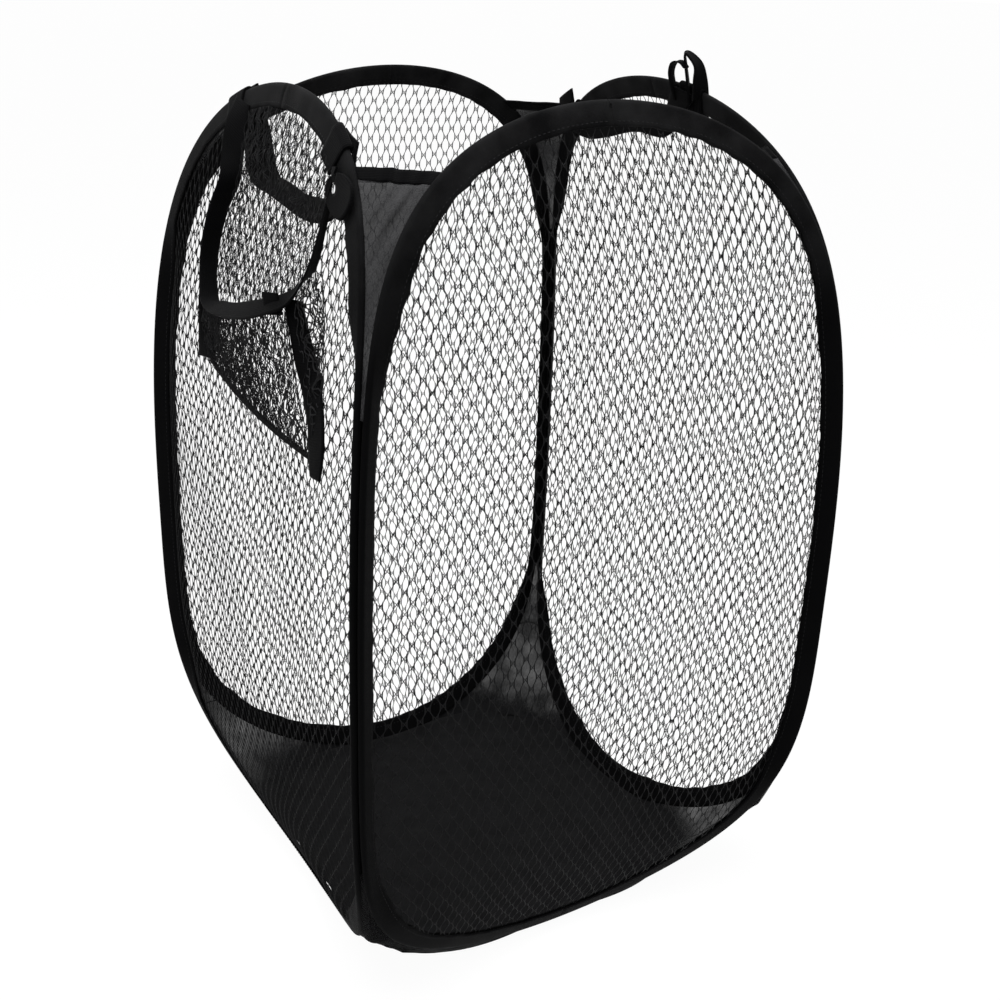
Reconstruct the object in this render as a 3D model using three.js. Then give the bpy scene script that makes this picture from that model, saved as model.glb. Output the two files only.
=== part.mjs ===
import * as THREE from 'three';

// A pop up laundry hamper. Four sprung hoop panels of net stand in a square and are sewn to
// each other along their straight edges. Cloth gussets close the corners above and below the
// seams, a cloth floor closes the base, two webbing handles hang inside the mouth and a net
// pocket is sewn on the outside of the left panel.
// Millimetres, +Z up, origin at the middle of the base, on the ground.

// The hoops
const waistWidth = 355;
const panelHeight = 565;
const waistHeight = 220;
const topLean = 44;
const baseLean = 46;
const cornerSetback = 1.2;
const hoopFormShares = { lean: 3, topSide: 2, topEnd: 9, baseSide: 1.9, baseEnd: 5.8 };
const halfRingCount = 24;
const turningShare = 0.55;

// Spring wire and its crimp sleeve
const wireRadius = 1;
const wireInset = 2.5;
const wireSideCount = 6;
const sleeveRadius = 1.2;
const sleeveLength = 18;
const wireEndGap = 0.4;

// Edge binding tape, folded over the wire and the edge of the net
const bindingWidth = 14;
const bindingTip = 0.9;
const bindingBevel = 1.2;
const bindingSwell = 2.1;
const bindingSwellEnd = 3.6;
const bindingHem = 1.3;
const wireRoom = 1.5;
const wireRoomStart = 1.1;
const wireRoomEnd = 3.9;
const netRoom = 0.7;

// Net of the panels
const netThickness = 0.8;
const netEdgeInset = 5.2;
const netBorder = 3;
const netStrand = 3.4;
const netCellWidth = 54;
const netCellHeight = 73;
const smallestCellShare = 0.04;

// Cloth gussets and floor
const clothThickness = 0.7;
const clothClearance = 0.8;
const seamTopDrop = 89;
const gussetTopDrop = 49.5;
const gussetHemHeight = 6;
const gussetHemThickness = 1.6;
const gussetHemClearance = 1.1;
const sewnGap = 0.4;
const gussetClimbShare = 1.4;
const seamBase = 64;
const floorThickness = 0.8;
const floorCornerReach = 112;
const seamRidgeInset = 2;
const cornerColumnCount = 4;

// Webbing handles
const webbingWidth = 22;
const webbingThickness = 1.4;
const handleSpan = 150;
const handleDroop = 56;
const leftHandleOffset = 14;
const rightHandleOffset = 34;
const handleStepCount = 18;
const handleFullnessShare = 0.72;
const tabClearance = 0.5;
const tabFoldClearance = 0.6;
const tabThickness = 1.2;
const tabLength = 16;

// Net pocket
const pocketBottomDrop = 182;
const pocketBottomWidth = 163;
const pocketBottomOffset = 31;
const pocketRimWidth = 176;
const pocketRimOffset = 21;
const pocketHeight = 51;
const pocketRimRise = 24;
const pocketRimSag = 6;
const pocketMouthDepth = 27;
const pocketSideDepth = 11;
const pocketSeat = 1.1;
const pocketNetThickness = 0.7;
const pocketColumnCount = 6;
const pocketRowCount = 2;
const pocketStrand = 2.6;
const pocketNetBorder = 3;
const pocketTapeWidth = 9;
const pocketTapeThickness = 1.6;
const pocketGap = 0.4;
const pocketTailWidth = 7;
const pocketTailThickness = 1.2;
const pocketTailDrop = 26;
const pocketSideColumnCount = 4;
const pocketBulgeShare = 0.6;
const riserStepCount = 8;
const rimStepCount = 12;
const leftRiserReach = 57;
const leftRiserBow = 84;
const rightRiserReach = 90;
const rightRiserBow = 104;

const tapeBlack = { color: 0x141416, roughness: 0.78, metalness: 0 };
const clothBlack = { color: 0x1b1b1d, roughness: 0.92, metalness: 0 };
const sheerCloth = { color: 0x3c3c3f, roughness: 0.9, metalness: 0 };
const netGrey = { color: 0x37383a, roughness: 0.7, metalness: 0 };
const springSteel = { color: 0x8a8d92, roughness: 0.35, metalness: 1 };

// Half width of the square that the four panels make at a height.
function halfWidthAt(height) {
  const above = height > waistHeight;
  const reach = above ? panelHeight - waistHeight : waistHeight;
  const lean = above ? topLean : baseLean;
  const rise = Math.abs(height - waistHeight) / reach;
  return waistWidth / 2 - lean * rise ** hoopFormShares.lean;
}

// Whether a point of the panel lies inside the rounded outline of its hoop.
function insideHoop(across, height) {
  const above = height > waistHeight;
  const reach = above ? panelHeight - waistHeight : waistHeight;
  const side = above ? hoopFormShares.topSide : hoopFormShares.baseSide;
  const end = above ? hoopFormShares.topEnd : hoopFormShares.baseEnd;
  const rise = Math.abs(height - waistHeight) / reach;
  const spread = Math.abs(across) / (halfWidthAt(height) - cornerSetback);
  return rise < 1 && spread ** side + rise ** end < 1;
}

// Point of the outline in a direction seen from the middle of the waist.
function outlinePoint(angle) {
  let low = 0;
  let high = panelHeight;
  for (let step = 0; step < 48; step += 1) {
    const reach = (low + high) / 2;
    const inside = insideHoop(reach * Math.cos(angle), waistHeight + reach * Math.sin(angle));
    low = inside ? reach : low;
    high = inside ? high : reach;
  }
  return new THREE.Vector2(low * Math.cos(angle), waistHeight + low * Math.sin(angle));
}

// The right half of the outline, from the middle of the base up to the middle of the top, with
// the length and the turn passed so far.
const outlineCount = 600;
const outline = [];
for (let step = 0; step <= outlineCount; step += 1) {
  const point = outlinePoint(-Math.PI / 2 + (Math.PI * step) / outlineCount);
  const before = outline[step - 1];
  const length = before ? before.length + point.distanceTo(before.point) : 0;
  outline.push({ point, length });
}
outline.forEach((place, step) => {
  const next = outline[Math.min(step + 1, outlineCount)].point;
  const last = outline[Math.max(step - 1, 0)].point;
  const along = next.clone().sub(last).normalize();
  const middle = step === 0 || step === outlineCount;
  place.along = middle ? new THREE.Vector2(step === 0 ? 1 : -1, 0) : along;
  place.turn = Math.atan2(place.along.y, place.along.x);
});
const halfLength = outline[outlineCount].length;

// The rings of every hoop part lie closer together where the outline turns more.
function ringPlaces() {
  const rings = [];
  let step = 0;
  for (let ring = 0; ring <= halfRingCount; ring += 1) {
    const wanted = ring / halfRingCount;
    const passed = (place) =>
      (1 - turningShare) * (place.length / halfLength) + turningShare * (place.turn / Math.PI);
    while (step < outlineCount && passed(outline[step]) < wanted) {
      step += 1;
    }
    const { point, along, length } = outline[step];
    rings.push({ point, inward: new THREE.Vector2(-along.y, along.x), length });
  }
  return rings;
}

function onLeft({ point, inward }) {
  const flip = new THREE.Vector2(-1, 1);
  return { point: point.clone().multiply(flip), inward: inward.clone().multiply(flip) };
}

const rightRings = ringPlaces();
const hoopRings = [...rightRings, ...rightRings.slice(1, -1).reverse().map(onLeft)];

// Place on the straight run between two rings, at a length from the middle of the base. A
// negative length runs up the left side.
function edgeAt(length) {
  const wanted = Math.abs(length);
  let step = 1;
  while (step < halfRingCount && rightRings[step].length < wanted) {
    step += 1;
  }
  const from = rightRings[step - 1];
  const to = rightRings[step];
  const share = (wanted - from.length) / (to.length - from.length);
  const place = {
    point: from.point.clone().lerp(to.point, share),
    inward: from.inward.clone().lerp(to.inward, share),
  };
  return length < 0 ? onLeft(place) : place;
}

function inset(ring, distance) {
  return ring.point.clone().addScaledVector(ring.inward, distance);
}

// A panel is drawn flat and bent to its lean: across, inward from the middle of its thickness,
// and height.
function onPanel(across, inward, height) {
  return new THREE.Vector3(across, inward - halfWidthAt(height), height);
}

// A closed body from its points and faces, turned to face out.
function closedBody(points, faces) {
  let volume = 0;
  for (const [a, b, c] of faces) {
    volume += points[a].dot(points[b].clone().cross(points[c]));
  }
  const index = faces.flatMap(([a, b, c]) => (volume < 0 ? [a, c, b] : [a, b, c]));
  const geometry = new THREE.BufferGeometry();
  geometry.setAttribute('position', new THREE.Float32BufferAttribute(
    points.flatMap((point) => point.toArray()), 3));
  geometry.setIndex(index);
  geometry.computeVertexNormals();
  return geometry;
}

// A body through a row of equal rings. The ends of an open row are capped by the faces given
// for one ring.
function loft(rings, capFaces) {
  const count = rings[0].length;
  const points = rings.flat();
  const faces = [];
  const spans = capFaces ? rings.length - 1 : rings.length;
  for (let ring = 0; ring < spans; ring += 1) {
    const here = ring * count;
    const next = ((ring + 1) % rings.length) * count;
    for (let corner = 0; corner < count; corner += 1) {
      const after = (corner + 1) % count;
      faces.push([here + corner, here + after, next + after]);
      faces.push([here + corner, next + after, next + corner]);
    }
  }
  if (capFaces) {
    const end = (rings.length - 1) * count;
    for (const [a, b, c] of capFaces) {
      faces.push([a, c, b]);
      faces.push([end + a, end + b, end + c]);
    }
  }
  return closedBody(points, faces);
}

// Faces over a flat outline and round its gaps, turned the same way as the outline.
function facesOver(section, gaps) {
  const points = [...section, ...gaps.flat()];
  const faces = THREE.ShapeUtils.triangulateShape(section.slice(), gaps);
  const area = faces.reduce((sum, face) =>
    sum + THREE.ShapeUtils.area(face.map((id) => points[id])), 0);
  const same = area > 0 === THREE.ShapeUtils.area(section) > 0;
  return faces.map(([a, b, c]) => (same ? [a, b, c] : [a, c, b]));
}

// A section given as inset from the outline and inward offset, set on a ring of the hoop.
function sectionOnRing(section, ring) {
  return section.map(({ x: depth, y: inward }) => {
    const place = inset(ring, depth);
    return onPanel(place.x, inward, place.y);
  });
}

function hoopBinding() {
  const half = [
    new THREE.Vector2(bindingWidth, netRoom),
    new THREE.Vector2(wireRoomEnd, wireRoom),
    new THREE.Vector2(wireRoomStart, wireRoom),
  ];
  const outer = [
    new THREE.Vector2(0, bindingTip),
    new THREE.Vector2(bindingBevel, bindingSwell),
    new THREE.Vector2(bindingSwellEnd, bindingSwell),
    new THREE.Vector2(bindingWidth, bindingHem),
  ];
  const mirrored = (points) => points.map(({ x, y }) => new THREE.Vector2(x, -y)).reverse();
  const section = [...half, ...mirrored(half), ...mirrored(outer), ...outer];
  return loft(hoopRings.map((ring) => sectionOnRing(section, ring)));
}

function roundSection(radius) {
  const section = [];
  for (let corner = 0; corner < wireSideCount; corner += 1) {
    const angle = (2 * Math.PI * corner) / wireSideCount;
    section.push(new THREE.Vector2(
      wireInset + radius * Math.cos(angle), radius * Math.sin(angle)));
  }
  return section;
}

// The wire runs round its hoop and ends on both sides of the crimp sleeve in the base.
function hoopWire() {
  const start = sleeveLength / 2 + wireEndGap;
  const inner = hoopRings.filter((ring, index) => index > 0);
  const clear = inner.filter((ring) => ring.point.y > panelHeight / 2
    || Math.abs(ring.point.x) > start + wireRadius);
  const section = roundSection(wireRadius);
  const rings = [edgeAt(start), ...clear, edgeAt(-start)];
  return loft(rings.map((ring) => sectionOnRing(section, ring)), facesOver(section, []));
}

function crimpSleeve() {
  const section = roundSection(sleeveRadius);
  const rings = [edgeAt(-sleeveLength / 2), edgeAt(0), edgeAt(sleeveLength / 2)];
  return loft(rings.map((ring) => sectionOnRing(section, ring)), facesOver(section, []));
}

// Keeps the part of a rounded polygon that lies inside a second one, both anticlockwise.
function clip(polygon, border) {
  let kept = polygon;
  border.forEach((from, index) => {
    const to = border[(index + 1) % border.length];
    const edge = to.clone().sub(from);
    const level = (point) => edge.cross(point.clone().sub(from));
    const next = [];
    kept.forEach((point, corner) => {
      const after = kept[(corner + 1) % kept.length];
      const here = level(point);
      const there = level(after);
      if (here >= 0) {
        next.push(point);
      }
      if (here * there < 0) {
        next.push(point.clone().lerp(after, here / (here - there)));
      }
    });
    kept = next;
  });
  return kept;
}

// Drops the points that make next to no corner, so that a clipped gap stays simple.
function simplify(polygon, tolerance) {
  return polygon.filter((point, index) => {
    const last = polygon[(index + polygon.length - 1) % polygon.length];
    const next = polygon[(index + 1) % polygon.length];
    const span = next.clone().sub(last);
    return Math.abs(span.cross(point.clone().sub(last))) > tolerance * span.length();
  });
}

// An upright six sided gap, half a strand inside its cell.
function netCell(x, y, cellWidth, cellHeight, strand) {
  const side = (cellWidth - strand) / 2;
  const peak = (cellHeight - strand) / 2;
  const shoulder = (cellHeight / 2 - strand) / 2;
  return [
    new THREE.Vector2(x + side, y - shoulder),
    new THREE.Vector2(x + side, y + shoulder),
    new THREE.Vector2(x, y + peak),
    new THREE.Vector2(x - side, y + shoulder),
    new THREE.Vector2(x - side, y - shoulder),
    new THREE.Vector2(x, y - peak),
  ];
}

// Staggered rows of gaps, cut off at a rounded border.
function netGaps(border) {
  const box = new THREE.Box2().setFromPoints(border);
  const middle = box.getCenter(new THREE.Vector2());
  const columns = Math.ceil((box.max.x - box.min.x) / netCellWidth / 2) + 1;
  const rows = Math.ceil((box.max.y - box.min.y) / netCellHeight) + 1;
  const smallest = smallestCellShare * netCellWidth * netCellHeight;
  const gaps = [];
  for (let row = -rows; row <= rows; row += 1) {
    for (let column = -columns; column <= columns; column += 1) {
      const x = middle.x + (column + (row % 2 === 0 ? 0 : 1 / 2)) * netCellWidth;
      const y = middle.y + row * netCellHeight * (3 / 4);
      const cell = netCell(x, y, netCellWidth, netCellHeight, netStrand);
      const gap = simplify(clip(cell, border), netStrand / 8);
      if (gap.length > 2 && THREE.ShapeUtils.area(gap) > smallest) {
        gaps.push(gap);
      }
    }
  }
  return gaps;
}

// A net: an even rim between two loops of equal count, and a field of strands round the gaps.
function netPlate(outer, inner, gaps, thickness, place) {
  const flat = [...outer, ...inner, ...gaps.flat()];
  const total = flat.length;
  const points = [
    ...flat.map((point) => place(point.x, -thickness / 2, point.y)),
    ...flat.map((point) => place(point.x, thickness / 2, point.y)),
  ];
  const front = [];
  const walls = [];
  const count = outer.length;
  for (let corner = 0; corner < count; corner += 1) {
    const after = (corner + 1) % count;
    front.push([corner, after, count + after]);
    front.push([corner, count + after, count + corner]);
    walls.push([after, corner]);
  }
  for (const [a, b, c] of facesOver(inner, gaps)) {
    front.push([count + a, count + b, count + c]);
  }
  let start = 2 * count;
  for (const gap of gaps) {
    for (let corner = 0; corner < gap.length; corner += 1) {
      walls.push([start + corner, start + ((corner + 1) % gap.length)]);
    }
    start += gap.length;
  }
  const faces = [...front];
  for (const [a, b, c] of front) {
    faces.push([total + a, total + c, total + b]);
  }
  for (const [a, b] of walls) {
    faces.push([a, b, total + b]);
    faces.push([a, total + b, total + a]);
  }
  return closedBody(points, faces);
}

function meshPanel() {
  const outer = hoopRings.map((ring) => inset(ring, netEdgeInset));
  const inner = hoopRings.map((ring) => inset(ring, bindingWidth));
  const border = hoopRings.map((ring) => inset(ring, bindingWidth + netBorder));
  return netPlate(outer, inner, netGaps(border), netThickness, onPanel);
}

// Point beside the right edge of the hoop at a height, at a distance outside its outline.
function besideEdge(height, distance) {
  const edge = rightRings.map((ring) => inset(ring, -distance));
  let step = 1;
  while (step < edge.length - 1 && edge[step].y < height) {
    step += 1;
  }
  const share = (height - edge[step - 1].y) / (edge[step].y - edge[step - 1].y);
  return edge[step - 1].clone().lerp(edge[step], share);
}

// Heights of a corner cloth: its two ends and the rings of the hoops between them.
function clothHeights(low, high) {
  const between = rightRings.map((ring) => inset(ring, -clothClearance).y)
    .filter((height) => height > low + clothClearance && height < high - clothClearance);
  return [low, ...between, high];
}

// A row of points across a corner, from one panel's edge to the next one's. The corner point
// lies on the diagonal, and without one the row is straight.
function cornerRow(height, distance, reach) {
  const side = besideEdge(height, distance).x;
  const plane = halfWidthAt(height);
  const from = new THREE.Vector3(-side, -plane, height);
  const to = new THREE.Vector3(-plane, -side, height);
  const middle = from.clone().add(to).multiplyScalar(1 / 2);
  const corner = reach ? new THREE.Vector3(-reach, -reach, height) : middle;
  const pull = corner.clone().multiplyScalar(2).sub(middle);
  const row = [];
  for (let column = 0; column <= cornerColumnCount; column += 1) {
    const share = column / cornerColumnCount;
    row.push(from.clone().multiplyScalar((1 - share) ** 2)
      .addScaledVector(pull, 2 * share * (1 - share)).addScaledVector(to, share ** 2));
  }
  return row;
}

// A sheet through rows of points. Both faces have the same triangles, and its thickness runs
// across the corner and climbs by a share of that.
function cornerSheet(rows, thickness, climbShare) {
  const half = new THREE.Vector3(1, 1, climbShare).setLength(thickness / 2);
  const across = rows[0].length;
  const last = (rows.length - 1) * across;
  const places = rows.flat();
  const total = places.length;
  const points = [
    ...places.map((point) => point.clone().sub(half)),
    ...places.map((point) => point.clone().add(half)),
  ];
  const face = [];
  for (let row = 0; row < last; row += across) {
    for (let column = 0; column < across - 1; column += 1) {
      const corner = row + column;
      face.push([corner, corner + 1, corner + across + 1]);
      face.push([corner, corner + across + 1, corner + across]);
    }
  }
  const walls = [];
  for (let column = 0; column < across - 1; column += 1) {
    walls.push([column + 1, column]);
    walls.push([last + column, last + column + 1]);
  }
  for (let row = 0; row < last; row += across) {
    walls.push([row, row + across]);
    walls.push([row + 2 * across - 1, row + across - 1]);
  }
  const faces = [...face];
  for (const [a, b, c] of face) {
    faces.push([total + a, total + c, total + b]);
  }
  for (const [a, b] of walls) {
    faces.push([a, b, total + b]);
    faces.push([a, total + b, total + a]);
  }
  return closedBody(points, faces);
}

function topGusset() {
  const seamEnd = panelHeight - seamTopDrop;
  const rows = clothHeights(seamEnd, panelHeight - gussetTopDrop)
    .map((height) => cornerRow(height, clothClearance));
  return cornerSheet(rows, clothThickness, 0);
}

function topGussetHem() {
  const base = panelHeight - gussetTopDrop + sewnGap;
  const rows = [base, base + gussetHemHeight].map((height) =>
    cornerRow(height, gussetHemClearance));
  return cornerSheet(rows, gussetHemThickness, 0);
}

// The lower gusset comes to a ridge that runs from the end of the seam to the floor's corner.
function gussetFoot() {
  return floorThickness + sewnGap + clothThickness / 2;
}

function ridgeReach(height) {
  const share = (height - gussetFoot()) / (seamBase - gussetFoot());
  const upper = halfWidthAt(seamBase) - seamRidgeInset;
  return floorCornerReach + (upper - floorCornerReach) * share;
}

function baseGusset() {
  const rows = clothHeights(gussetFoot(), seamBase).map((height) =>
    cornerRow(height, clothClearance, ridgeReach(height)));
  return cornerSheet(rows, clothThickness, gussetClimbShare);
}

// The floor meets the gussets at the corners and stays inside the bindings between them.
function floorCloth() {
  const side = [];
  for (const point of cornerRow(gussetFoot(), clothClearance, floorCornerReach)) {
    side.push(new THREE.Vector2(point.x, point.y));
  }
  side.reverse();
  const run = side[side.length - 1].x + sleeveRadius * 2;
  const edge = halfWidthAt(0) - bindingSwell - sewnGap;
  side.push(new THREE.Vector2(run, -edge));
  side.push(new THREE.Vector2(-run, -edge));
  const border = [];
  for (let turn = 0; turn < 4; turn += 1) {
    for (const point of side) {
      border.push(point.clone().rotateAround(new THREE.Vector2(), (turn * Math.PI) / 2));
    }
  }
  return new THREE.ExtrudeGeometry(new THREE.Shape(border),
    { depth: floorThickness, bevelEnabled: false });
}

// Length along the outline at which the top of the hoop passes a place across.
function topLengthAt(across) {
  let step = outlineCount;
  while (outline[step].point.x < Math.abs(across)) {
    step -= 1;
  }
  return Math.sign(across) * outline[step].length;
}

// The sewn end of a handle, folded over the binding.
function handleTab(across) {
  const inner = bindingSwell + tabClearance;
  const outer = inner + tabThickness;
  const fold = -tabFoldClearance - tabThickness;
  const half = [
    new THREE.Vector2(tabLength, inner),
    new THREE.Vector2(0, inner),
    new THREE.Vector2(-tabFoldClearance, inner - tabThickness),
  ];
  const cover = [
    new THREE.Vector2(fold, outer - tabThickness),
    new THREE.Vector2(0, outer),
    new THREE.Vector2(tabLength, outer),
  ];
  const mirrored = (points) => points.map(({ x, y }) => new THREE.Vector2(x, -y)).reverse();
  const section = [...half, ...mirrored(half), ...mirrored(cover), ...cover];
  const middle = topLengthAt(across);
  const rings = [-webbingWidth / 2, 0, webbingWidth / 2].map((step) => edgeAt(middle + step));
  return loft(rings.map((ring) => sectionOnRing(section, ring)), facesOver(section, []));
}

// Where a handle swings: just above and inside the fold of its sewn end.
function handlePivot(across) {
  const ring = edgeAt(topLengthAt(across));
  const rise = tabFoldClearance + tabThickness + webbingThickness / 2 + sewnGap;
  const inward = bindingSwell + tabClearance + tabThickness + webbingThickness / 2 + sewnGap;
  const place = inset(ring, -rise);
  return onPanel(place.x, inward, place.y);
}

// The free length of webbing, hanging in a loop from its two ends.
function handleStrap(length) {
  const rings = [];
  for (let step = 0; step <= handleStepCount; step += 1) {
    const angle = (Math.PI * step) / handleStepCount;
    const depth = handleDroop - webbingWidth / 2;
    const place = new THREE.Vector3((length / 2) * Math.cos(angle), 0,
      -depth * Math.sin(angle) ** handleFullnessShare);
    const across = new THREE.Vector3(
      Math.cos(angle) * depth, 0, (-Math.sin(angle) * length) / 2).setLength(webbingWidth / 2);
    const out = new THREE.Vector3(0, webbingThickness / 2, 0);
    rings.push([
      place.clone().add(across).add(out),
      place.clone().sub(across).add(out),
      place.clone().sub(across).sub(out),
      place.clone().add(across).sub(out),
    ]);
  }
  return loft(rings, [[0, 1, 2], [0, 2, 3]]);
}

function addHandle(panel, name, offset, sides) {
  const ends = [offset - handleSpan / 2, offset + handleSpan / 2];
  ends.forEach((across, index) => {
    panel.add(mesh(`${name}_handle_${sides[index]}_tab`, handleTab(across), tapeBlack));
  });
  const [from, to] = ends.map(handlePivot);
  const along = to.clone().sub(from);
  const strap = mesh(`${name}_handle_strap`, handleStrap(along.length()), tapeBlack);
  const right = along.clone().normalize();
  const inward = new THREE.Vector3(0, 0, 1).cross(right).normalize();
  strap.quaternion.setFromRotationMatrix(
    new THREE.Matrix4().makeBasis(right, inward, right.clone().cross(inward)));
  strap.position.copy(from).lerp(to, 1 / 2);
  panel.add(strap);
}

function pocketBottom() {
  return panelHeight - pocketBottomDrop;
}

// The pocket lies outside the panel, so its depth is taken as a negative inward offset.
function pocketEdge(side, rise) {
  const low = pocketBottomOffset + (side * pocketBottomWidth) / 2;
  const high = pocketRimOffset + (side * pocketRimWidth) / 2;
  return low + (high - low) * rise;
}

function rimHeight(share) {
  const level = pocketBottom() + pocketHeight + pocketRimRise * share;
  return level - pocketRimSag * Math.sin(Math.PI * share);
}

function pocketDepth(share, rise) {
  const side = pocketSideDepth * rise;
  const middle = (pocketMouthDepth - pocketSideDepth) * rise ** pocketBulgeShare;
  return pocketSeat + side + middle * Math.sin(Math.PI * share);
}

// Place on the pocket's front by its share of the width, its share of the height and an offset.
function onPocket(share, rise, offset) {
  const left = pocketEdge(-1, rise);
  const across = left + (pocketEdge(1, rise) - left) * share;
  const height = pocketBottom() + (rimHeight(share) - pocketBottom()) * rise;
  return onPanel(across, offset - pocketDepth(share, rise), height);
}

function pocketFront() {
  const width = pocketRimWidth;
  const top = pocketHeight - pocketTapeWidth / 2 - pocketGap;
  const margin = pocketNetThickness / 2 + pocketGap;
  const corners = [];
  const runs = [[0, 0, 1, 0, 8], [1, 0, 1, 1, 3], [1, 1, 0, 1, 8], [0, 1, 0, 0, 3]];
  for (const [fromX, fromY, toX, toY, count] of runs) {
    for (let step = 0; step < count; step += 1) {
      corners.push(new THREE.Vector2(
        fromX + ((toX - fromX) * step) / count, fromY + ((toY - fromY) * step) / count));
    }
  }
  const outward = (share) => (share === 0 ? -1 : Math.floor(share));
  const loop = (depth, bow) => corners.map(({ x, y }) => new THREE.Vector2(
    margin + depth + x * (width - 2 * (margin + depth)) + bow * outward(x) * Math.sin(Math.PI * y),
    depth + y * (top - 2 * depth) + bow * outward(y) * Math.sin(Math.PI * x)));
  const side = margin + pocketNetBorder;
  const cellWidth = (width - 2 * side) / (pocketColumnCount + 1 / 2);
  const cellHeight = (top - 2 * pocketNetBorder) / (1 + ((pocketRowCount - 1) * 3) / 4);
  const gaps = [];
  for (let row = 0; row < pocketRowCount; row += 1) {
    for (let column = 0; column < pocketColumnCount; column += 1) {
      const x = side + (column + 1 / 2 + (row % 2) / 2) * cellWidth;
      const y = pocketNetBorder + cellHeight * (1 / 2 + (row * 3) / 4);
      gaps.push(netCell(x, y, cellWidth, cellHeight, pocketStrand));
    }
  }
  return netPlate(loop(0, 0), loop(pocketNetBorder - pocketGap, pocketGap), gaps, pocketNetThickness,
    (across, offset, rise) => onPocket(across / width, rise / pocketHeight, offset));
}

// A flat tape along places on the panel, its face turned outward.
function tape(places, width, thickness) {
  const outward = new THREE.Vector3(0, -1, 0);
  const rings = places.map((place, index) => {
    const next = places[Math.min(index + 1, places.length - 1)];
    const last = places[Math.max(index - 1, 0)];
    const along = next.clone().sub(last).normalize();
    const across = along.clone().cross(outward).setLength(width / 2);
    const face = across.clone().cross(along).setLength(thickness / 2);
    return [
      place.clone().add(across).add(face),
      place.clone().sub(across).add(face),
      place.clone().sub(across).sub(face),
      place.clone().add(across).sub(face),
    ];
  });
  return loft(rings, [[0, 1, 2], [0, 2, 3]]);
}

// The mouth tape comes down from the hoop, runs along the rim and goes up again.
function mouthTape() {
  const seat = pocketSeat + pocketTapeThickness / 2;
  const endHeight = (across) => edgeAt(topLengthAt(across)).point.y - tabLength - sewnGap;
  const rise = (side, reach, bow) => {
    const share = side < 0 ? 0 : 1;
    const foot = rimHeight(share);
    const head = endHeight(reach + webbingWidth);
    const start = pocketEdge(side, 1);
    const places = [];
    for (let step = 1; step <= riserStepCount; step += 1) {
      const up = step / riserStepCount;
      const across = start * side * (1 - up) ** 2 + 2 * bow * up * (1 - up) + reach * up ** 2;
      const depth = seat + pocketSideDepth * (1 - up) ** 2;
      places.push(onPanel(side * across, -depth, foot + (head - foot) * up));
    }
    return places;
  };
  const rim = [];
  for (let step = 0; step <= rimStepCount; step += 1) {
    rim.push(onPocket(step / rimStepCount, 1, 0));
  }
  const left = rise(-1, leftRiserReach, leftRiserBow).reverse();
  const right = rise(1, rightRiserReach, rightRiserBow);
  return tape([...left, ...rim, ...right], pocketTapeWidth, pocketTapeThickness);
}

function bottomTape() {
  const depth = pocketSeat + pocketTapeThickness / 2;
  const height = pocketBottom() - pocketTapeWidth / 2 - pocketGap;
  const places = [-1, 0, 1].map((side) => onPanel(pocketEdge(side, 0), -depth, height));
  return tape(places, pocketTapeWidth, pocketTapeThickness);
}

// The side of the pocket between the panel and the front's edge, a narrow triangle of net.
function pocketSide(side) {
  const share = side < 0 ? 0 : 1;
  const rings = [];
  const half = pocketNetThickness / 2;
  const stop = 1 - (pocketTapeWidth / 2 + pocketGap) / pocketHeight;
  for (let step = 1; step <= pocketSideColumnCount; step += 1) {
    const rise = (stop * step) / pocketSideColumnCount;
    const across = pocketEdge(side, rise);
    const height = pocketBottom() + (rimHeight(share) - pocketBottom()) * rise;
    const depth = pocketDepth(share, rise) + half;
    rings.push([
      onPanel(across - half, -pocketSeat, height),
      onPanel(across + half, -pocketSeat, height),
      onPanel(across + half, -depth, height),
      onPanel(across - half, -depth, height),
    ]);
  }
  return loft(rings, [[0, 1, 2], [0, 2, 3]]);
}

// The tape down the front's side edge, whose end hangs below the pocket.
function sideTail(side) {
  const share = side < 0 ? 0 : 1;
  const lift = pocketTapeThickness + pocketGap * (3 / 2) + pocketTailThickness / 2;
  const stop = 1 - (pocketTapeWidth / 2 + pocketGap * 2) / pocketHeight;
  const places = [];
  for (let step = 0; step <= pocketSideColumnCount; step += 1) {
    const rise = stop * (1 - step / pocketSideColumnCount);
    places.push(onPocket(share, rise, -lift));
  }
  const foot = pocketBottom() - pocketTapeWidth - pocketTailDrop;
  places.push(onPanel(pocketEdge(side, 0), -pocketSeat - lift, foot));
  return tape(places, pocketTailWidth, pocketTailThickness);
}

function mesh(name, geometry, look) {
  const solid = new THREE.Mesh(geometry, new THREE.MeshStandardMaterial(look));
  solid.name = name;
  return solid;
}

const hamper = new THREE.Group();

const panels = {};
['front', 'right', 'back', 'left'].forEach((side, turn) => {
  const panel = new THREE.Group();
  panel.rotation.z = (turn * Math.PI) / 2;
  panel.add(mesh(`${side}_hoop_wire`, hoopWire(), springSteel));
  panel.add(mesh(`${side}_crimp_sleeve`, crimpSleeve(), springSteel));
  panel.add(mesh(`${side}_edge_binding`, hoopBinding(), tapeBlack));
  panel.add(mesh(`${side}_mesh_panel`, meshPanel(), netGrey));
  panels[side] = panel;
  hamper.add(panel);
});

['front_left', 'front_right', 'back_right', 'back_left'].forEach((corner, turn) => {
  const group = new THREE.Group();
  group.rotation.z = (turn * Math.PI) / 2;
  group.add(mesh(`${corner}_top_gusset`, topGusset(), sheerCloth));
  group.add(mesh(`${corner}_top_gusset_hem`, topGussetHem(), tapeBlack));
  group.add(mesh(`${corner}_base_gusset`, baseGusset(), clothBlack));
  hamper.add(group);
});

hamper.add(mesh('floor_cloth', floorCloth(), clothBlack));

addHandle(panels.left, 'left', leftHandleOffset, ['back', 'front']);
addHandle(panels.right, 'right', rightHandleOffset, ['front', 'back']);

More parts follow.
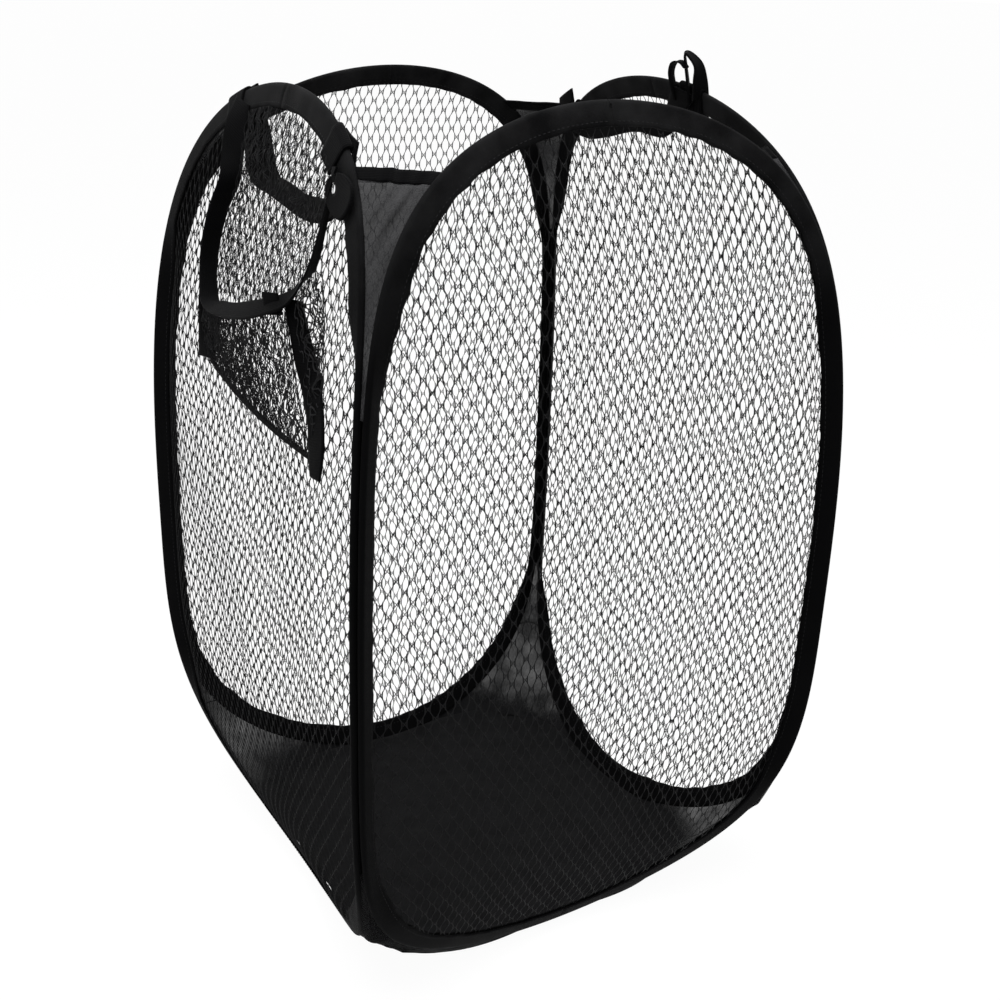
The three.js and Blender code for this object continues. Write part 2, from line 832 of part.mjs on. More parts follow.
panels.left.add(mesh('pocket_front_net', pocketFront(), netGrey));
panels.left.add(mesh('pocket_mouth_tape', mouthTape(), tapeBlack));
panels.left.add(mesh('pocket_bottom_tape', bottomTape(), tapeBlack));
panels.left.add(mesh('pocket_back_side', pocketSide(-1), netGrey));
panels.left.add(mesh('pocket_front_side', pocketSide(1), netGrey));
panels.left.add(mesh('pocket_back_tail', sideTail(-1), tapeBlack));
panels.left.add(mesh('pocket_front_tail', sideTail(1), tapeBlack));

export default hamper;
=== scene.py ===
import math
import bpy
import numpy as np
from mathutils import Matrix


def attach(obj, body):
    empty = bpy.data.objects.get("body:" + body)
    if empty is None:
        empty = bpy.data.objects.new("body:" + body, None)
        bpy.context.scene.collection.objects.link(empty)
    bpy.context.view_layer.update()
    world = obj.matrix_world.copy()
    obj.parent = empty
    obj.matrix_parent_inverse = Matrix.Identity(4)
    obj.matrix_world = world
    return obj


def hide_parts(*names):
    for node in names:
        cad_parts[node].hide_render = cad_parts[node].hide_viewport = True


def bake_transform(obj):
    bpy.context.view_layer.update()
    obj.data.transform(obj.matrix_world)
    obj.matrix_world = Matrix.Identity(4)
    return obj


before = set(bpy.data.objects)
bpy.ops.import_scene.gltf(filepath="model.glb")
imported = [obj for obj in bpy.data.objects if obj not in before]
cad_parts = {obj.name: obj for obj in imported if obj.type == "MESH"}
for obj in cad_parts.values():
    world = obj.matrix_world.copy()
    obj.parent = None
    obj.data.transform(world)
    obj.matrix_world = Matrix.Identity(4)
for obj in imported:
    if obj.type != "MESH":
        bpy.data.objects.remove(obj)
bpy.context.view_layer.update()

# Lengths are millimetres in the dictionaries and metres in the meshes and on the stage. A place
# on a panel is (across, inward, height), and a quarter turns it to one of the four panels.
hoop = {"waistWidth": 355, "height": 565, "waistHeight": 220, "topLean": 44, "baseLean": 46,
        "setback": 1.2, "leanPower": 3, "topSide": 2, "topEnd": 9, "baseSide": 1.9, "baseEnd": 5.8,
        "points": 600, "rays": 1201, "halvings": 48, "headroom": 30}
quarters = {"front": 0, "right": 1, "back": 2, "left": 3}
corners = {"front_left": 0, "front_right": 1, "back_right": 2, "back_left": 3}
folds = {"front_left": ("left_panel", "front_panel"), "back_left": ("left_panel", "back_panel"),
         "back_right": ("back_panel", "right_panel")}
leastAreaShare = 0.301
bend = {"place": (-170, -170, 200), "seamReach": 9, "clothReach": 40}
seeds = {"net": 20, "leftBinding": 60, "rightBinding": 90, "topGusset": 130, "baseGusset": 170,
         "floor": 5, "pocketFront": 300, "pocketSide": 330, "pocketBack": 360}

# The binding's light colour and its height band and share below are painted light: the top arcs are
# painted brighter and the tape lower down darker, for the light from above.
binding = {"width": 14, "thickness": 0.8, "swell": 2.05, "hem": 0.95, "rings": 170, "pucker": 0.5,
           "lap": 0.8, "wireInset": 2.25, "lean": 39, "sewnFrom": 64, "sewnTo": 476, "easing": 60,
           "dark": (0.0009, 0.0009, 0.0011), "light": (0.024, 0.024, 0.0248),
           "ribPitch": 0.9, "sheen": 0.01, "plainShare": 0.08, "fadedFrom": 430, "fadedTo": 555,
           "legEnd": 3.2, "legSteps": 7, "swellLength": 9, "swellPower": 0.7, "bendRadius": 1.85,
           "bendSteps": 9, "looseFrom": 4, "looseLength": 10, "joinLength": 25, "puckerSize": 17,
           "rippleSize": 41, "rippleShare": 0.7, "puckerInset": 0.8, "puckerLift": 0.4}
stitch = {"inset": 11.2, "length": 2.4, "pitch": 3.4, "radius": 0.22, "lifts": (1.5, 1.85, 1.5),
          "colour": (0.004, 0.004, 0.0044)}
net = {"pitch": 9.4, "row": 6.9, "swings": (1.35, 0.8), "radius": 0.228, "tieRadius": 0.25,
       "inset": 6.5, "stepsPerRow": 3, "warp": 1.6, "billow": 1.1, "tieShifts": (-0.2, 0.2),
       "seamPull": 6.8, "seamReach": 55, "seamStart": 2, "tieMargin": 6, "sideGap": 1,
       "leastSteps": 4, "waveSizes": (110, 90, 170), "fadeAcross": 30, "fadeUp": 40, "harmonic": 0.12,
       "colour": (0.004, 0.004, 0.0043)}
seam = {"from": 118, "to": 430, "tuck": 5.2, "inward": 0.8, "thickness": 1.4, "rows": 90,
        "columns": 7}
topGusset = {"from": 412, "rims": (526.5, 526.5, 532, 526.5), "gap": -2, "thickness": 0.35,
             "sag": 0.8, "dip": 1.4, "crease": 2.6, "creaseWidth": 30, "layHeight": 30,
             "foldSizes": (9, 22), "foldShares": (0.6, 0.8), "rows": 60, "columns": 61,
             "dark": (0.012, 0.012, 0.013), "light": (0.06, 0.06, 0.062), "alpha": 0.86}
topHem = {"height": 6.4, "thickness": 1.2, "lift": -1.4, "rows": 5, "ribPitch": 1.1, "sheen": 0.01,
          "dark": (0.001, 0.001, 0.0012), "light": (0.003, 0.003, 0.0034)}
baseGusset = {"foot": 1.7, "seamBase": 64, "to": 130, "gap": -2, "footGap": 0.2, "cornerReach": 112,
              "ridgeInset": 2, "thickness": 0.6, "crease": 0.5, "rows": 52, "columns": 61,
              "gapFrom": 3.5, "gapLength": 6, "layWidth": 60, "layHeight": 40,
              "foldSizes": (10, 25), "creaseUp": 0.5, "alpha": 0.77, "solidBelow": 26,
              "thinFrom": 0.1, "solidShare": 0.3,
              "dark": (0.004, 0.004, 0.0044), "light": (0.011, 0.011, 0.0116)}
tongue = {"rows": 40, "columns": 15, "overlap": 1}
floorCloth = {"edge": 129.0, "flare": 2.4, "cornerPull": 17.4, "pullPower": 6, "thickness": 0.7,
              "ripple": 0.9, "lip": 4.2, "lipReach": 2.4, "lipFrom": 0.95, "rows": 81,
              "flareFrom": 0.26, "flareLength": 0.16, "rippleSizes": (70, 24),
              "rippleShares": (0.5, 0.25), "rippleFade": 9, "lift": 0.05, "bendReach": 130,
              "grain": 0.5,
              "dark": (0.0035, 0.0035, 0.0038), "light": (0.0095, 0.0095, 0.01)}

webbing = {"ribPitch": 1.6, "sheen": 0.015, "columns": 9, "dark": (0.0012, 0.0012, 0.0014),
           "light": (0.004, 0.004, 0.0044)}
# How many steps a band of webbing is drawn in, and how far it is cupped.
bands = {"strap": (120, 0.5), "loop": (70, 0.3), "mouth": (150, 0.3), "tape": (40, 0.3)}
steel = {"dark": (0.24, 0.25, 0.27), "light": (0.42, 0.43, 0.45)}

# Rows down a strap, each the two edges of the webbing as places on its panel.
leftHandle = {"thickness": 1.2, "rows": [
    ((-81, 5, 553), (-62, 5, 560)), ((-80, 6, 543), (-59, 9, 551)),
    ((-73, 7, 531), (-53, 15, 538)), ((-61, 8, 519.6), (-42, 18, 524)),
    ((-53, 9, 509), (-33, 19, 514)), ((-40, 10, 501.3), (-22, 19, 508)),
    ((-16, 9, 500), (-10, 19, 507)), ((14, 8, 497.5), (8, 18, 506)),
    ((38, 6, 496), (24, 18, 504)), ((62, 4.5, 496), (45, 18, 505)),
    ((84, 4, 499), (72, 17, 507)), ((98, 4, 506), (89, 16, 512)),
    ((103, 4, 516), (98, 11, 519)), ((103, 4, 526), (96, 9, 529)),
    ((101, 4.5, 536), (86, 8, 540)), ((99, 5, 543), (79, 5, 548))]}
rightHandle = {"thickness": 1.2, "rows": [
    ((120, 5, 540), (100, 5, 549)), ((121, 7, 527), (98, 7, 536)),
    ((109, 8, 518), (90, 9, 531)), ((82, 10, 514), (72, 10, 533)),
    ((51, 12, 519), (48, 10, 539)), ((25, 13, 525), (26, 8, 546)),
    ((8, 14, 527), (13, 7, 546)), ((-4, 14, 526), (3, 6, 543.8)),
    ((-14, 13, 526), (-6, 6, 542)), ((-23, 11, 530), (-9, 5, 544)),
    ((-32, 9, 538), (-16, 5, 548)), ((-41, 7, 548), (-21, 5, 555)),
    ((-49, 5, 556), (-28, 5, 561))]}
tab = {"width": 22, "length": 17, "thickness": 1.1, "gap": 2.75, "bendInset": 1, "bendRadius": 2.6,
       "steps": 9, "legSteps": 6}
tabs = {"left_handle_back_tab": ("left", -71), "left_handle_front_tab": ("left", 90),
        "right_handle_back_tab": ("right", 110), "right_handle_front_tab": ("right", -42)}
loopEnd = {"thickness": 1.4, "rows": [
    ((-31, -4, 553), (-44, 8, 551)), ((-33, -4, 563), (-45, 7, 563)),
    ((-36, -3, 575), (-46, 6, 575)), ((-39, -2, 583), (-47, 5, 582)),
    ((-46, -2, 583), (-50, 5, 581)), ((-53, -3, 577), (-55, 6, 575)),
    ((-53, -4, 567), (-52, 7, 566)), ((-51, -4, 555), (-48, 8, 553))]}
tuckedLoop = {"thickness": 1.3, "rows": [
    ((106.2, -6, 528.8), (104.2, -5, 523.2)), ((115.6, -6, 528.8), (106.4, -5, 522.2)),
    ((124.7, -6, 526.1), (107.4, -5, 521.2)), ((129.5, -6, 522.3), (107.8, -5, 520.6)),
    ((130.5, -6, 516.4), (108.1, -5, 519.6)), ((127.8, -6, 510.5), (108.0, -5, 518.5)),
    ((122.4, -6, 506.8), (107.3, -5, 517.7)), ((113.1, -6, 507.6), (105.9, -5, 517.2)),
    ((104.6, -6, 511.4), (103.7, -5, 517.5)), ((99.1, -6, 516.3), (101.6, -5, 518.7)),
    ((97.2, -6, 521.7), (100.2, -5, 520.8)), ((99.6, -6, 526.1), (101.0, -5, 522.9)),
    ((106.0, -6, 528.6), (104.0, -5, 523.2))]}
smallLoop = {"thickness": 1.3, "rows": [
    ((-27, 2, 553), (-29, 8, 552)), ((-26, 2, 562), (-28, 8, 562)),
    ((-27, 2, 570), (-29, 8, 570)), ((-33, 2, 576.5), (-34, 8, 576)),
    ((-40, 2, 577.5), (-41, 7, 577)), ((-44, 2, 574), (-45, 7, 574))]}

# The pocket's tapes, as rows of two edges on the left panel. The pocket stands outside the
# net, so its inward places are negative.
pocketTape = {"thickness": 1.1, "mouth": [
    ((-62, -5, 552), (-47, -3.4, 549)), ((-52, -11, 540), (-44, -3, 538.8)),
    ((-45, -12, 522.4), (-39, -3, 521.4)), ((-38, -13, 507), (-35, -3, 505.2)),
    ((-44, -13.5, 490), (-45, -3, 487.7)), ((-45, -14.5, 473), (-48, -4, 470)),
    ((-42, -15.5, 456), (-46, -5, 452)), ((-34, -17, 443), (-37, -7, 440)),
    ((-26, -19, 436.5), (-23, -9.5, 433)), ((-10, -21.5, 434), (-7, -13, 437)),
    ((15, -25, 436.5), (12, -18.5, 441)), ((45, -27, 441), (40, -22.5, 446.5)),
    ((72, -27, 447.5), (66, -23, 453.5)), ((91, -24, 454), (84.5, -20.5, 459)),
    ((100, -19, 459), (93, -14.5, 463.5)), ((102, -14, 466), (95.5, -9, 468.5)),
    ((103, -11, 474), (98.5, -5, 475)), ((103.5, -8.5, 484), (100.2, -3.5, 482)),
    ((103, -7, 497), (101, -3.2, 495)), ((102.5, -6, 510), (101, -3.2, 508)),
    ((101, -5.4, 521), (97, -3.4, 521)), ((101, -5, 531), (94, -3.4, 530))],
    "leftTail": [((-26, -19.6, 437), (-23, -9.5, 431)), ((-33.7, -15.5, 421), (-29, -6.5, 417)),
                 ((-43, -11.5, 406), (-35, -4.5, 404)), ((-54, -7, 391), (-43, -2.6, 391))],
    "rightTail": [((92, -15, 461), (98, -9, 460)), ((97, -13.5, 451), (102, -6, 449)),
                  ((102, -12, 440.6), (108, -4.6, 439.5)), ((107, -9.5, 427), (115, -3.6, 430)),
                  ((110, -6.5, 416), (121, -3, 420)), ((113, -4.6, 405), (126, -2.8, 410)),
                  ((117, -3.8, 394.5), (130, -2.8, 399)), ((119, -3.8, 384), (132, -2.8, 387)),
                  ((121, -3.8, 375), (132, -2.8, 377)), ((123, -3.9, 367), (131, -3, 367))],
    "bottom": [((-49, -2.4, 392.5), (-49, -2.2, 387.5)), ((-22, -2.6, 387), (-22, -2.4, 382)),
               ((4, -2.6, 383), (4, -2.4, 378)), ((35, -2.6, 380), (35, -2.4, 375)),
               ((66, -2.6, 378.5), (66, -2.4, 373.5)), ((95, -2.6, 378), (95, -2.4, 373.5)),
               ((118, -2.6, 378.5), (118, -2.4, 374))],
    "knot": [((82, -24, 463), (91, -21, 464)), ((84, -23, 457), (92, -19, 458)),
             ((86, -21, 451), (93, -17, 452))]}
pocketNet = {"pitch": 6.6, "row": 4.6, "swing": 1.0, "radius": 0.3, "frontRadius": 0.27,
             "backRadius": 0.2, "layers": 3, "sideLayers": 2, "layerGap": 1.6, "layerShift": 0.7,
             "layerRise": 2, "stepsPerRow": 3, "crumple": 2.0, "wander": 1.6, "fadeLength": 8,
             "clearance": 1.6, "fullness": 1.3, "columns": 60, "rows": 40,
             "edgeInset": 0.5, "foldSizes": (19, 9), "foldShare": 0.6, "layerFold": 0.3,
             "wanderSizes": (15, 13), "waveCount": 6, "colour": (0.007, 0.007, 0.0075),
             "rim": [(-37, -16, 431), (-12, -21, 433.5), (14, -25, 436.5), (44, -27, 441.5),
                     (71, -26.5, 448), (99, -17, 456)],
             "seam": [(-50, -3, 390), (-22, -3, 385), (4, -3, 381), (35, -3, 378),
                      (66, -3, 376.5), (121, -3, 376)],
             "back": [
                 [(-45, -3, 435), (-12, -4, 438), (30, -5, 443), (66, -5, 450), (97, -4, 463)],
                 [(-46, -3, 470), (-12, -4, 474), (30, -5, 478), (66, -5, 481), (101, -3, 484)],
                 [(-40, -3, 508), (-10, -4, 512), (30, -5, 512), (66, -5, 511), (101, -3, 508)],
                 [(-46, -3, 546), (-12, -4, 552), (30, -5, 550), (66, -4, 542), (96, -3, 527)]]}
sideNets = {"pocket_front_side": [[(101, -15, 455), (101, -8, 470), (103, -4, 480)],
                                  [(109, -8, 420), (116, -3, 440), (115, -2.6, 463)],
                                  [(122, -4, 384), (126, -2.8, 405), (128, -2.6, 424)]],
            "pocket_back_side": [[(-36, -15, 436), (-40, -8, 436), (-43, -3, 436)],
                                 [(-41, -10, 412), (-44, -6, 412), (-47, -2.8, 412)],
                                 [(-50, -4.5, 391), (-51, -3.6, 391), (-52, -2.8, 391)]]}

camera = {"place": (-439.45, -743.58, 629.76), "azimuth": -0.53377, "elevation": 0.38227,
          "roll": 0.02724, "lens": 46.62, "shift": (0.02541, -0.00941), "sensor": 36,
          "clip": (0.01, 50)}
light = {"sky": 0.3, "ground": 40.0, "groundGlow": 1.06, "groundShare": 0.9,
         "groundColour": (0.82, 0.82, 0.82, 1), "target": (0, 0, 0.3)}
# Each lamp's place in metres, power and size.
lamps = {"topLamp": ((-0.3, -0.2, 1.9), 34, 1.6), "fillLamp": ((-1.6, -1.4, 1.0), 3, 1.2)}


# Vectors brought to length 1.
def unit(vectors):
    return vectors / np.maximum(np.linalg.norm(vectors, axis=-1), 1e-9)[..., None]


def surfaceNormals(grid):
    return unit(np.cross(np.gradient(grid, axis=0), np.gradient(grid, axis=1)))


def clipped(share):
    return np.clip(share, 0, 1)


# Half the width of the square that the panels make at a height.
def halfWidth(height):
    above = height > hoop["waistHeight"]
    reach = np.where(above, hoop["height"] - hoop["waistHeight"], hoop["waistHeight"])
    lean = np.where(above, hoop["topLean"], hoop["baseLean"])
    rise = np.abs(height - hoop["waistHeight"]) / reach
    return hoop["waistWidth"] / 2 - lean * rise ** hoop["leanPower"]


# The right half of a hoop's outline, walked from the base's middle to the top's in even steps:
# |across / (halfWidth - setback)| ^ side + rise ^ end = 1. With it come the directions inward
# and the lengths walked.
def halfOutline(count):
    angle = np.linspace(-math.pi / 2, math.pi / 2, hoop["rays"])
    low, high = np.zeros(angle.shape), np.full(angle.shape, float(hoop["height"]))
    for _ in range(hoop["halvings"]):
        reach = (low + high) / 2
        height = hoop["waistHeight"] + reach * np.sin(angle)
        above = angle > 0
        span = np.where(above, hoop["height"] - hoop["waistHeight"], hoop["waistHeight"])
        rise = np.abs(height - hoop["waistHeight"]) / span
        spread = np.abs(reach * np.cos(angle)) / (halfWidth(height) - hoop["setback"])
        side = np.where(above, hoop["topSide"], hoop["baseSide"])
        end = np.where(above, hoop["topEnd"], hoop["baseEnd"])
        inside = (rise < 1) & (spread ** side + rise ** end < 1)
        low, high = np.where(inside, reach, low), np.where(inside, high, reach)
    points = np.stack([low * np.cos(angle), hoop["waistHeight"] + low * np.sin(angle)], 1)
    points[0, 0] = points[-1, 0] = 0
    length = np.concatenate([[0], np.cumsum(np.linalg.norm(np.diff(points, axis=0), axis=1))])
    wanted = np.linspace(0, length[-1], count)
    even = np.stack([np.interp(wanted, length, points[:, axis]) for axis in range(2)], 1)
    along = np.gradient(even, axis=0)
    along[0], along[-1] = (1, 0), (-1, 0)
    along = unit(along)
    return even, np.stack([-along[:, 1], along[:, 0]], 1), wanted


outline, outlineInward, outlineLength = halfOutline(hoop["points"])


# The outline's across and height and its inward direction's two parts, at lengths walked.
def outlineAt(lengths):
    return [np.interp(lengths, outlineLength, column)
            for column in (*outline.T, *outlineInward.T)]


def onPanel(side, places):
    across, inward, height = np.moveaxis(np.asarray(places, float), -1, 0)
    plane = inward - halfWidth(np.clip(height, 0, hoop["height"] + hoop["headroom"]))
    return turned(np.stack([across, plane, height], -1), quarters[side])


def eased(share):
    share = clipped(share)
    return share * share * (3 - 2 * share)


# How much of the sewn seam's turn the tape has at a height: none on the free arcs.
def seamShare(height):
    return (eased((height - binding["sewnFrom"]) / binding["easing"])
            * eased((binding["sewnTo"] - height) / binding["easing"]))


# Along the seams the tape turns inward about its wire.
def leaned(inset, inward, height):
    turn = math.radians(binding["lean"]) * seamShare(height)
    across = inset - binding["wireInset"]
    return (binding["wireInset"] + across * np.cos(turn) - inward * np.sin(turn),
            inward * np.cos(turn) + across * np.sin(turn))


def turned(points, quarter):
    x, y, z = np.moveaxis(np.asarray(points, float), -1, 0)
    for _ in range(quarter):
        x, y = -y, x
    return np.stack([x, y, z], -1)


# A sum of slow waves, the same for the same seed.
def waves(places, size, seed, count=5):
    dice = np.random.default_rng(seed)
    total = 0
    for _ in range(count):
        turn = dice.normal(size=places.shape[-1])
        turn *= 2 * math.pi / size / np.linalg.norm(turn)
        total = total + np.sin(places @ turn + dice.uniform(0, 2 * math.pi))
    return total / math.sqrt(count)


def newObject(name, data):
    made = bpy.data.objects.new(name, data)
    bpy.context.scene.collection.objects.link(made)
    return made


def addMesh(name, points, faces, look, lay=None):
    mesh = bpy.data.meshes.new(name)
    points, faces = np.asarray(points, float), np.asarray(faces)
    size = faces.shape[1]
    mesh.vertices.add(len(points))
    mesh.vertices.foreach_set("co", (points / 1000).astype(np.float32).ravel())
    mesh.loops.add(faces.size)
    mesh.loops.foreach_set("vertex_index", faces.astype(np.int32).ravel())
    mesh.polygons.add(len(faces))
    mesh.polygons.foreach_set("loop_start", np.arange(0, faces.size, size, dtype=np.int32))
    mesh.polygons.foreach_set("loop_total", np.full(len(faces), size, np.int32))
    mesh.polygons.foreach_set("use_smooth", np.ones(len(faces), bool))
    if lay is not None:
        laid = mesh.attributes.new("lay", "FLOAT_VECTOR", "POINT")
        laid.data.foreach_set("vector", lay.astype(np.float32).ravel())
    mesh.update(calc_edges=True)
    mesh.materials.append(look)
    return newObject(name, mesh)


def quads(rows, columns, ringed):
    here = np.arange(rows * columns).reshape(rows, columns)
    last = rows if ringed else rows - 1
    below, above = here[:last], np.roll(here, -1, 0)[:last]
    return np.stack([below[:, :-1], below[:, 1:], above[:, 1:], above[:, :-1]], -1).reshape(-1, 4)


# A closed cloth body round a grid of places, half its thickness on each side.
def clothBody(grid, thickness):
    rows, columns = grid.shape[:2]
    half = surfaceNormals(grid) * thickness / 2
    points = np.concatenate([(grid + half).reshape(-1, 3), (grid - half).reshape(-1, 3)])
    face = quads(rows, columns, False)
    total = rows * columns
    here = np.arange(total).reshape(rows, columns)
    border = np.concatenate([here[0, :-1], here[:-1, -1], here[-1, :0:-1], here[:0:-1, 0]])
    after = np.roll(border, -1)
    walls = np.stack([border, total + border, total + after, after], 1)
    faces = np.concatenate([face[:, ::-1], face + total, walls[:, ::-1]])
    return points, outward(points, faces)


def outward(points, faces):
    a, b, c = (points[faces[:, i]] for i in range(3))
    volume = np.einsum("ij,ij->", a, np.cross(b, c))
    if faces.shape[1] == 4:
        d = points[faces[:, 3]]
        volume += np.einsum("ij,ij->", a, np.cross(c, d))
    return faces if volume > 0 else faces[:, ::-1]


# Half the surface of a cloth or of a net's strands, in square metres.
def clothArea(piece):
    each = np.empty(len(piece.data.polygons))
    piece.data.polygons.foreach_get("area", each)
    return float(each.sum()) / 2


# Works out a sheet's greatest lengths of its grid both ways and its area, and keeps neither. The
# fullness of the gathered nets is chosen, not measured. The area is held at no less than 0.3 of the
# flat rectangle, so the base cloths, which cover about a quarter of theirs, come out at the least
# share. The export takes no area under 0.3 of the flat rectangle.
def declareCloth(piece, grid, held, fullness=1, **facts):
    size = [float(np.linalg.norm(np.diff(grid, axis=axis), axis=-1).sum(axis).max()) / 1000
            for axis in (1, 0)]
    least = leastAreaShare * size[0] * size[1]
    area = min(max(clothArea(piece) * fullness, least), size[0] * size[1])


# A cloth with its lay: how far each vertex lies down and across the sheet.
def clothPiece(name, grid, thickness, look):
    points, faces = clothBody(grid, thickness)
    rows, columns = grid.shape[:2]
    down = np.cumsum(np.linalg.norm(np.diff(grid, axis=0, prepend=grid[:1]), axis=2), axis=0)
    over = np.cumsum(np.linalg.norm(np.diff(grid, axis=1, prepend=grid[:, :1]), axis=2), axis=1)
    lay = np.stack([down, over, np.zeros((rows, columns))], -1).reshape(-1, 3)
    piece = addMesh(name, points, faces, look, np.concatenate([lay, lay]))
    smooth = np.ones(len(faces), bool)
    smooth[2 * (rows - 1) * (columns - 1):] = False  # the cut edges
    piece.data.polygons.foreach_set("use_smooth", smooth)
    return piece


# A smooth curve through control places, by Catmull and Rom's rule.
def smoothCurve(places, count):
    places = np.asarray(places, float)
    ends = [2 * places[0] - places[1], *places, 2 * places[-1] - places[-2]]
    ends = np.array(ends)
    where = np.linspace(0, len(places) - 1 - 1e-9, count)
    step = where.astype(int)
    part = (where - step).reshape(-1, *[1] * (places.ndim - 1))
    a, b, c, d = (ends[step + i] for i in range(4))
    return (b + part * (c - a) / 2 + part ** 2 * (2 * a - 5 * b + 4 * c - d) / 2
            + part ** 3 * (3 * b - a - 3 * c + d) / 2)


# Thin strands through rows of places, with the given number of sides.
def strands(paths, radius, sides=3):
    points, faces, start = [], [], 0
    turn = 2 * math.pi * np.arange(sides) / sides
    for path in paths:
        along = unit(np.gradient(path, axis=-2))
        side = unit(np.cross(along, np.array([0.0, 1.0, 0.0])))
        face = np.cross(side, along)
        ring = (path[..., None, :] + radius * (np.cos(turn)[:, None] * side[..., None, :]
                                               + np.sin(turn)[:, None] * face[..., None, :]))
        many = ring.reshape(-1, *ring.shape[-3:])
        lengths = many.shape[1]
        here = np.arange(lengths * sides).reshape(lengths, sides)
        next_ = np.roll(here, -1, 1)
        a, b, c, d = (corner.ravel() for corner in (here[:-1], here[1:], next_[1:], next_[:-1]))
        tube = np.concatenate([np.stack([a, b, c], 1), np.stack([a, c, d], 1)])
        fan = np.array([[0, i, i + 1] for i in range(1, sides - 1)])
        caps = np.concatenate([fan, fan[:, ::-1] + (lengths - 1) * sides])
        offsets = start + np.arange(len(many))[:, None, None] * lengths * sides
        faces.append((np.concatenate([tube, caps])[None] + offsets).reshape(-1, 3))
        points.append(many.reshape(-1, 3))
        start += many.shape[0] * lengths * sides
    return np.concatenate(points), np.concatenate(faces)


print("looks")


# A socket of a material's nodes. Arithmetic on it adds Math nodes.
class Value:
    def __init__(self, tree, socket):
        self.tree, self.socket = tree, socket

    def node(self, kind, put=(), take=0, **settings):
        made = self.tree.nodes.new("ShaderNode" + kind)
        for key, setting in settings.items():
            setattr(made, key, setting)
        for key, value in dict(put).items():
            if isinstance(value, Value):
                self.tree.links.new(value.socket, made.inputs[key])
            else:
                made.inputs[key].default_value = value
        return Value(self.tree, made.outputs[take])

    def math(self, operation, other=0.0):
        return self.node("Math", {0: self, 1: other}, operation=operation)

    def __add__(self, other):
        return self.math("ADD", other)

    def __sub__(self, other):
        return self.math("SUBTRACT", other)

    def __mul__(self, other):
        return self.math("MULTIPLY", other)

    def __rsub__(self, other):
        return self * -1.0 + other

    __radd__ = __add__
    __rmul__ = __mul__

    def between(self, low, high):
        return self.node("MapRange", {"Value": self, "From Min": low, "From Max": high})

    def noise(self, scale, detail=3.0):
        return self.node("TexNoise", {"Vector": self, "Scale": scale, "Detail": detail})


def newLook(name):
    look = bpy.data.materials.new(name)
    look.use_nodes = True
    tree = look.node_tree
    shader = tree.nodes["Principled BSDF"]
    place = tree.nodes.new("ShaderNodeTexCoord")
    return look, shader, Value(tree, place.outputs["Object"])


def colourInto(shader, place, amount, dark, light):
    mix = place.node("Mix", {"Factor": amount}, data_type="RGBA", take=2)
    made = mix.socket.node
    made.inputs[6].default_value = (*dark, 1)
    made.inputs[7].default_value = (*light, 1)
    place.tree.links.new(mix.socket, shader.inputs["Base Color"])


def bumpInto(shader, place, height, strength, distance):
    bump = place.node("Bump", {"Height": height, "Strength": strength, "Distance": distance})
    place.tree.links.new(bump.socket, shader.inputs["Normal"])


# Ribs across a tape: sin(2 pi along / ribPitch), with soft cloudy wear over them; on the binding a
# painted light also brightens the top arcs and darkens the tape lower down.
def tapeLook(name, tape, paintedTopLight=False):
    look, shader, place = newLook(name)
    laid = place.node("Attribute", take=1, attribute_name="lay")
    along = laid.node("SeparateXYZ", {0: laid}, take=0)
    over = laid.node("SeparateXYZ", {0: laid}, take=1)
    ribs = (along * (2 * math.pi / tape["ribPitch"])).math("SINE")
    threads = (over * (2 * math.pi / (tape["ribPitch"] * 0.8))).math("SINE")
    cloud = place.noise(38.0)
    fine = place.noise(900.0, 2.0)
    weave = (ribs * 0.5 + threads * 0.3) + fine * 0.8
    shade = (cloud * 0.75 + weave * 0.12).between(0.25, 0.75)
    if paintedTopLight:  # painted light: the top arcs are painted brighter and the tape below them darker, for the light from above
        up = place.node("SeparateXYZ", {0: place}, take=2)
        high = up.between(tape["fadedFrom"] / 1000, tape["fadedTo"] / 1000)
        shade = shade * (high * (1 - tape["plainShare"]) + tape["plainShare"])
    colourInto(shader, place, shade, tape["dark"], tape["light"])
    bumpInto(shader, place, weave, 0.35, 0.0004)
    place.tree.links.new((cloud * 0.2 + 0.62).socket, shader.inputs["Roughness"])
    shader.inputs["Sheen Weight"].default_value = tape["sheen"]
    shader.inputs["Sheen Roughness"].default_value = 0.4
    shader.inputs["Specular IOR Level"].default_value = 0.03
    return look


# Pressed fibre cloth: fine fibres running mostly one way, and cloudy thicker patches.
def fibreLook(name, cloth):
    look, shader, place = newLook(name)
    long = place.node("Mapping", {"Vector": place, "Scale": (1.0, 1.0, 0.12)})
    fibres = long.noise(1400.0 * cloth.get("grain", 1), 4.0)
    cloud = place.noise(60.0, 4.0)
    specks = place.node("TexVoronoi", {"Vector": place, "Scale": 650.0})
    shade = (cloud * 0.6 + fibres * 0.5).between(0.35, 0.75)
    colourInto(shader, place, shade, cloth["dark"], cloth["light"])
    bumpInto(shader, place, fibres * 0.6 + specks * 0.5, 0.4, 0.0003)
    place.tree.links.new((fibres * 0.2 + 0.75).socket, shader.inputs["Roughness"])
    shader.inputs["Sheen Weight"].default_value = 0.02
    shader.inputs["Specular IOR Level"].default_value = 0.06
    if "alpha" in cloth:
        blotch = (place.noise(22.0, 5.0) - 0.5) * 0.5 + cloth["alpha"]
        thin = (fibres - 0.5) * 0.4 + ((cloud - 0.5) * 0.35 + blotch)
        if "solidBelow" in cloth:  # near the ground it lets less light through
            up = place.node("SeparateXYZ", {0: place}, take=2)
            solid = cloth["solidBelow"] / 1000
            low = 1 - up.between(solid * cloth["thinFrom"], solid)
            thin = thin + low * cloth["solidShare"]
        place.tree.links.new(thin.math("MINIMUM", 1.0).socket, shader.inputs["Alpha"])
    return look


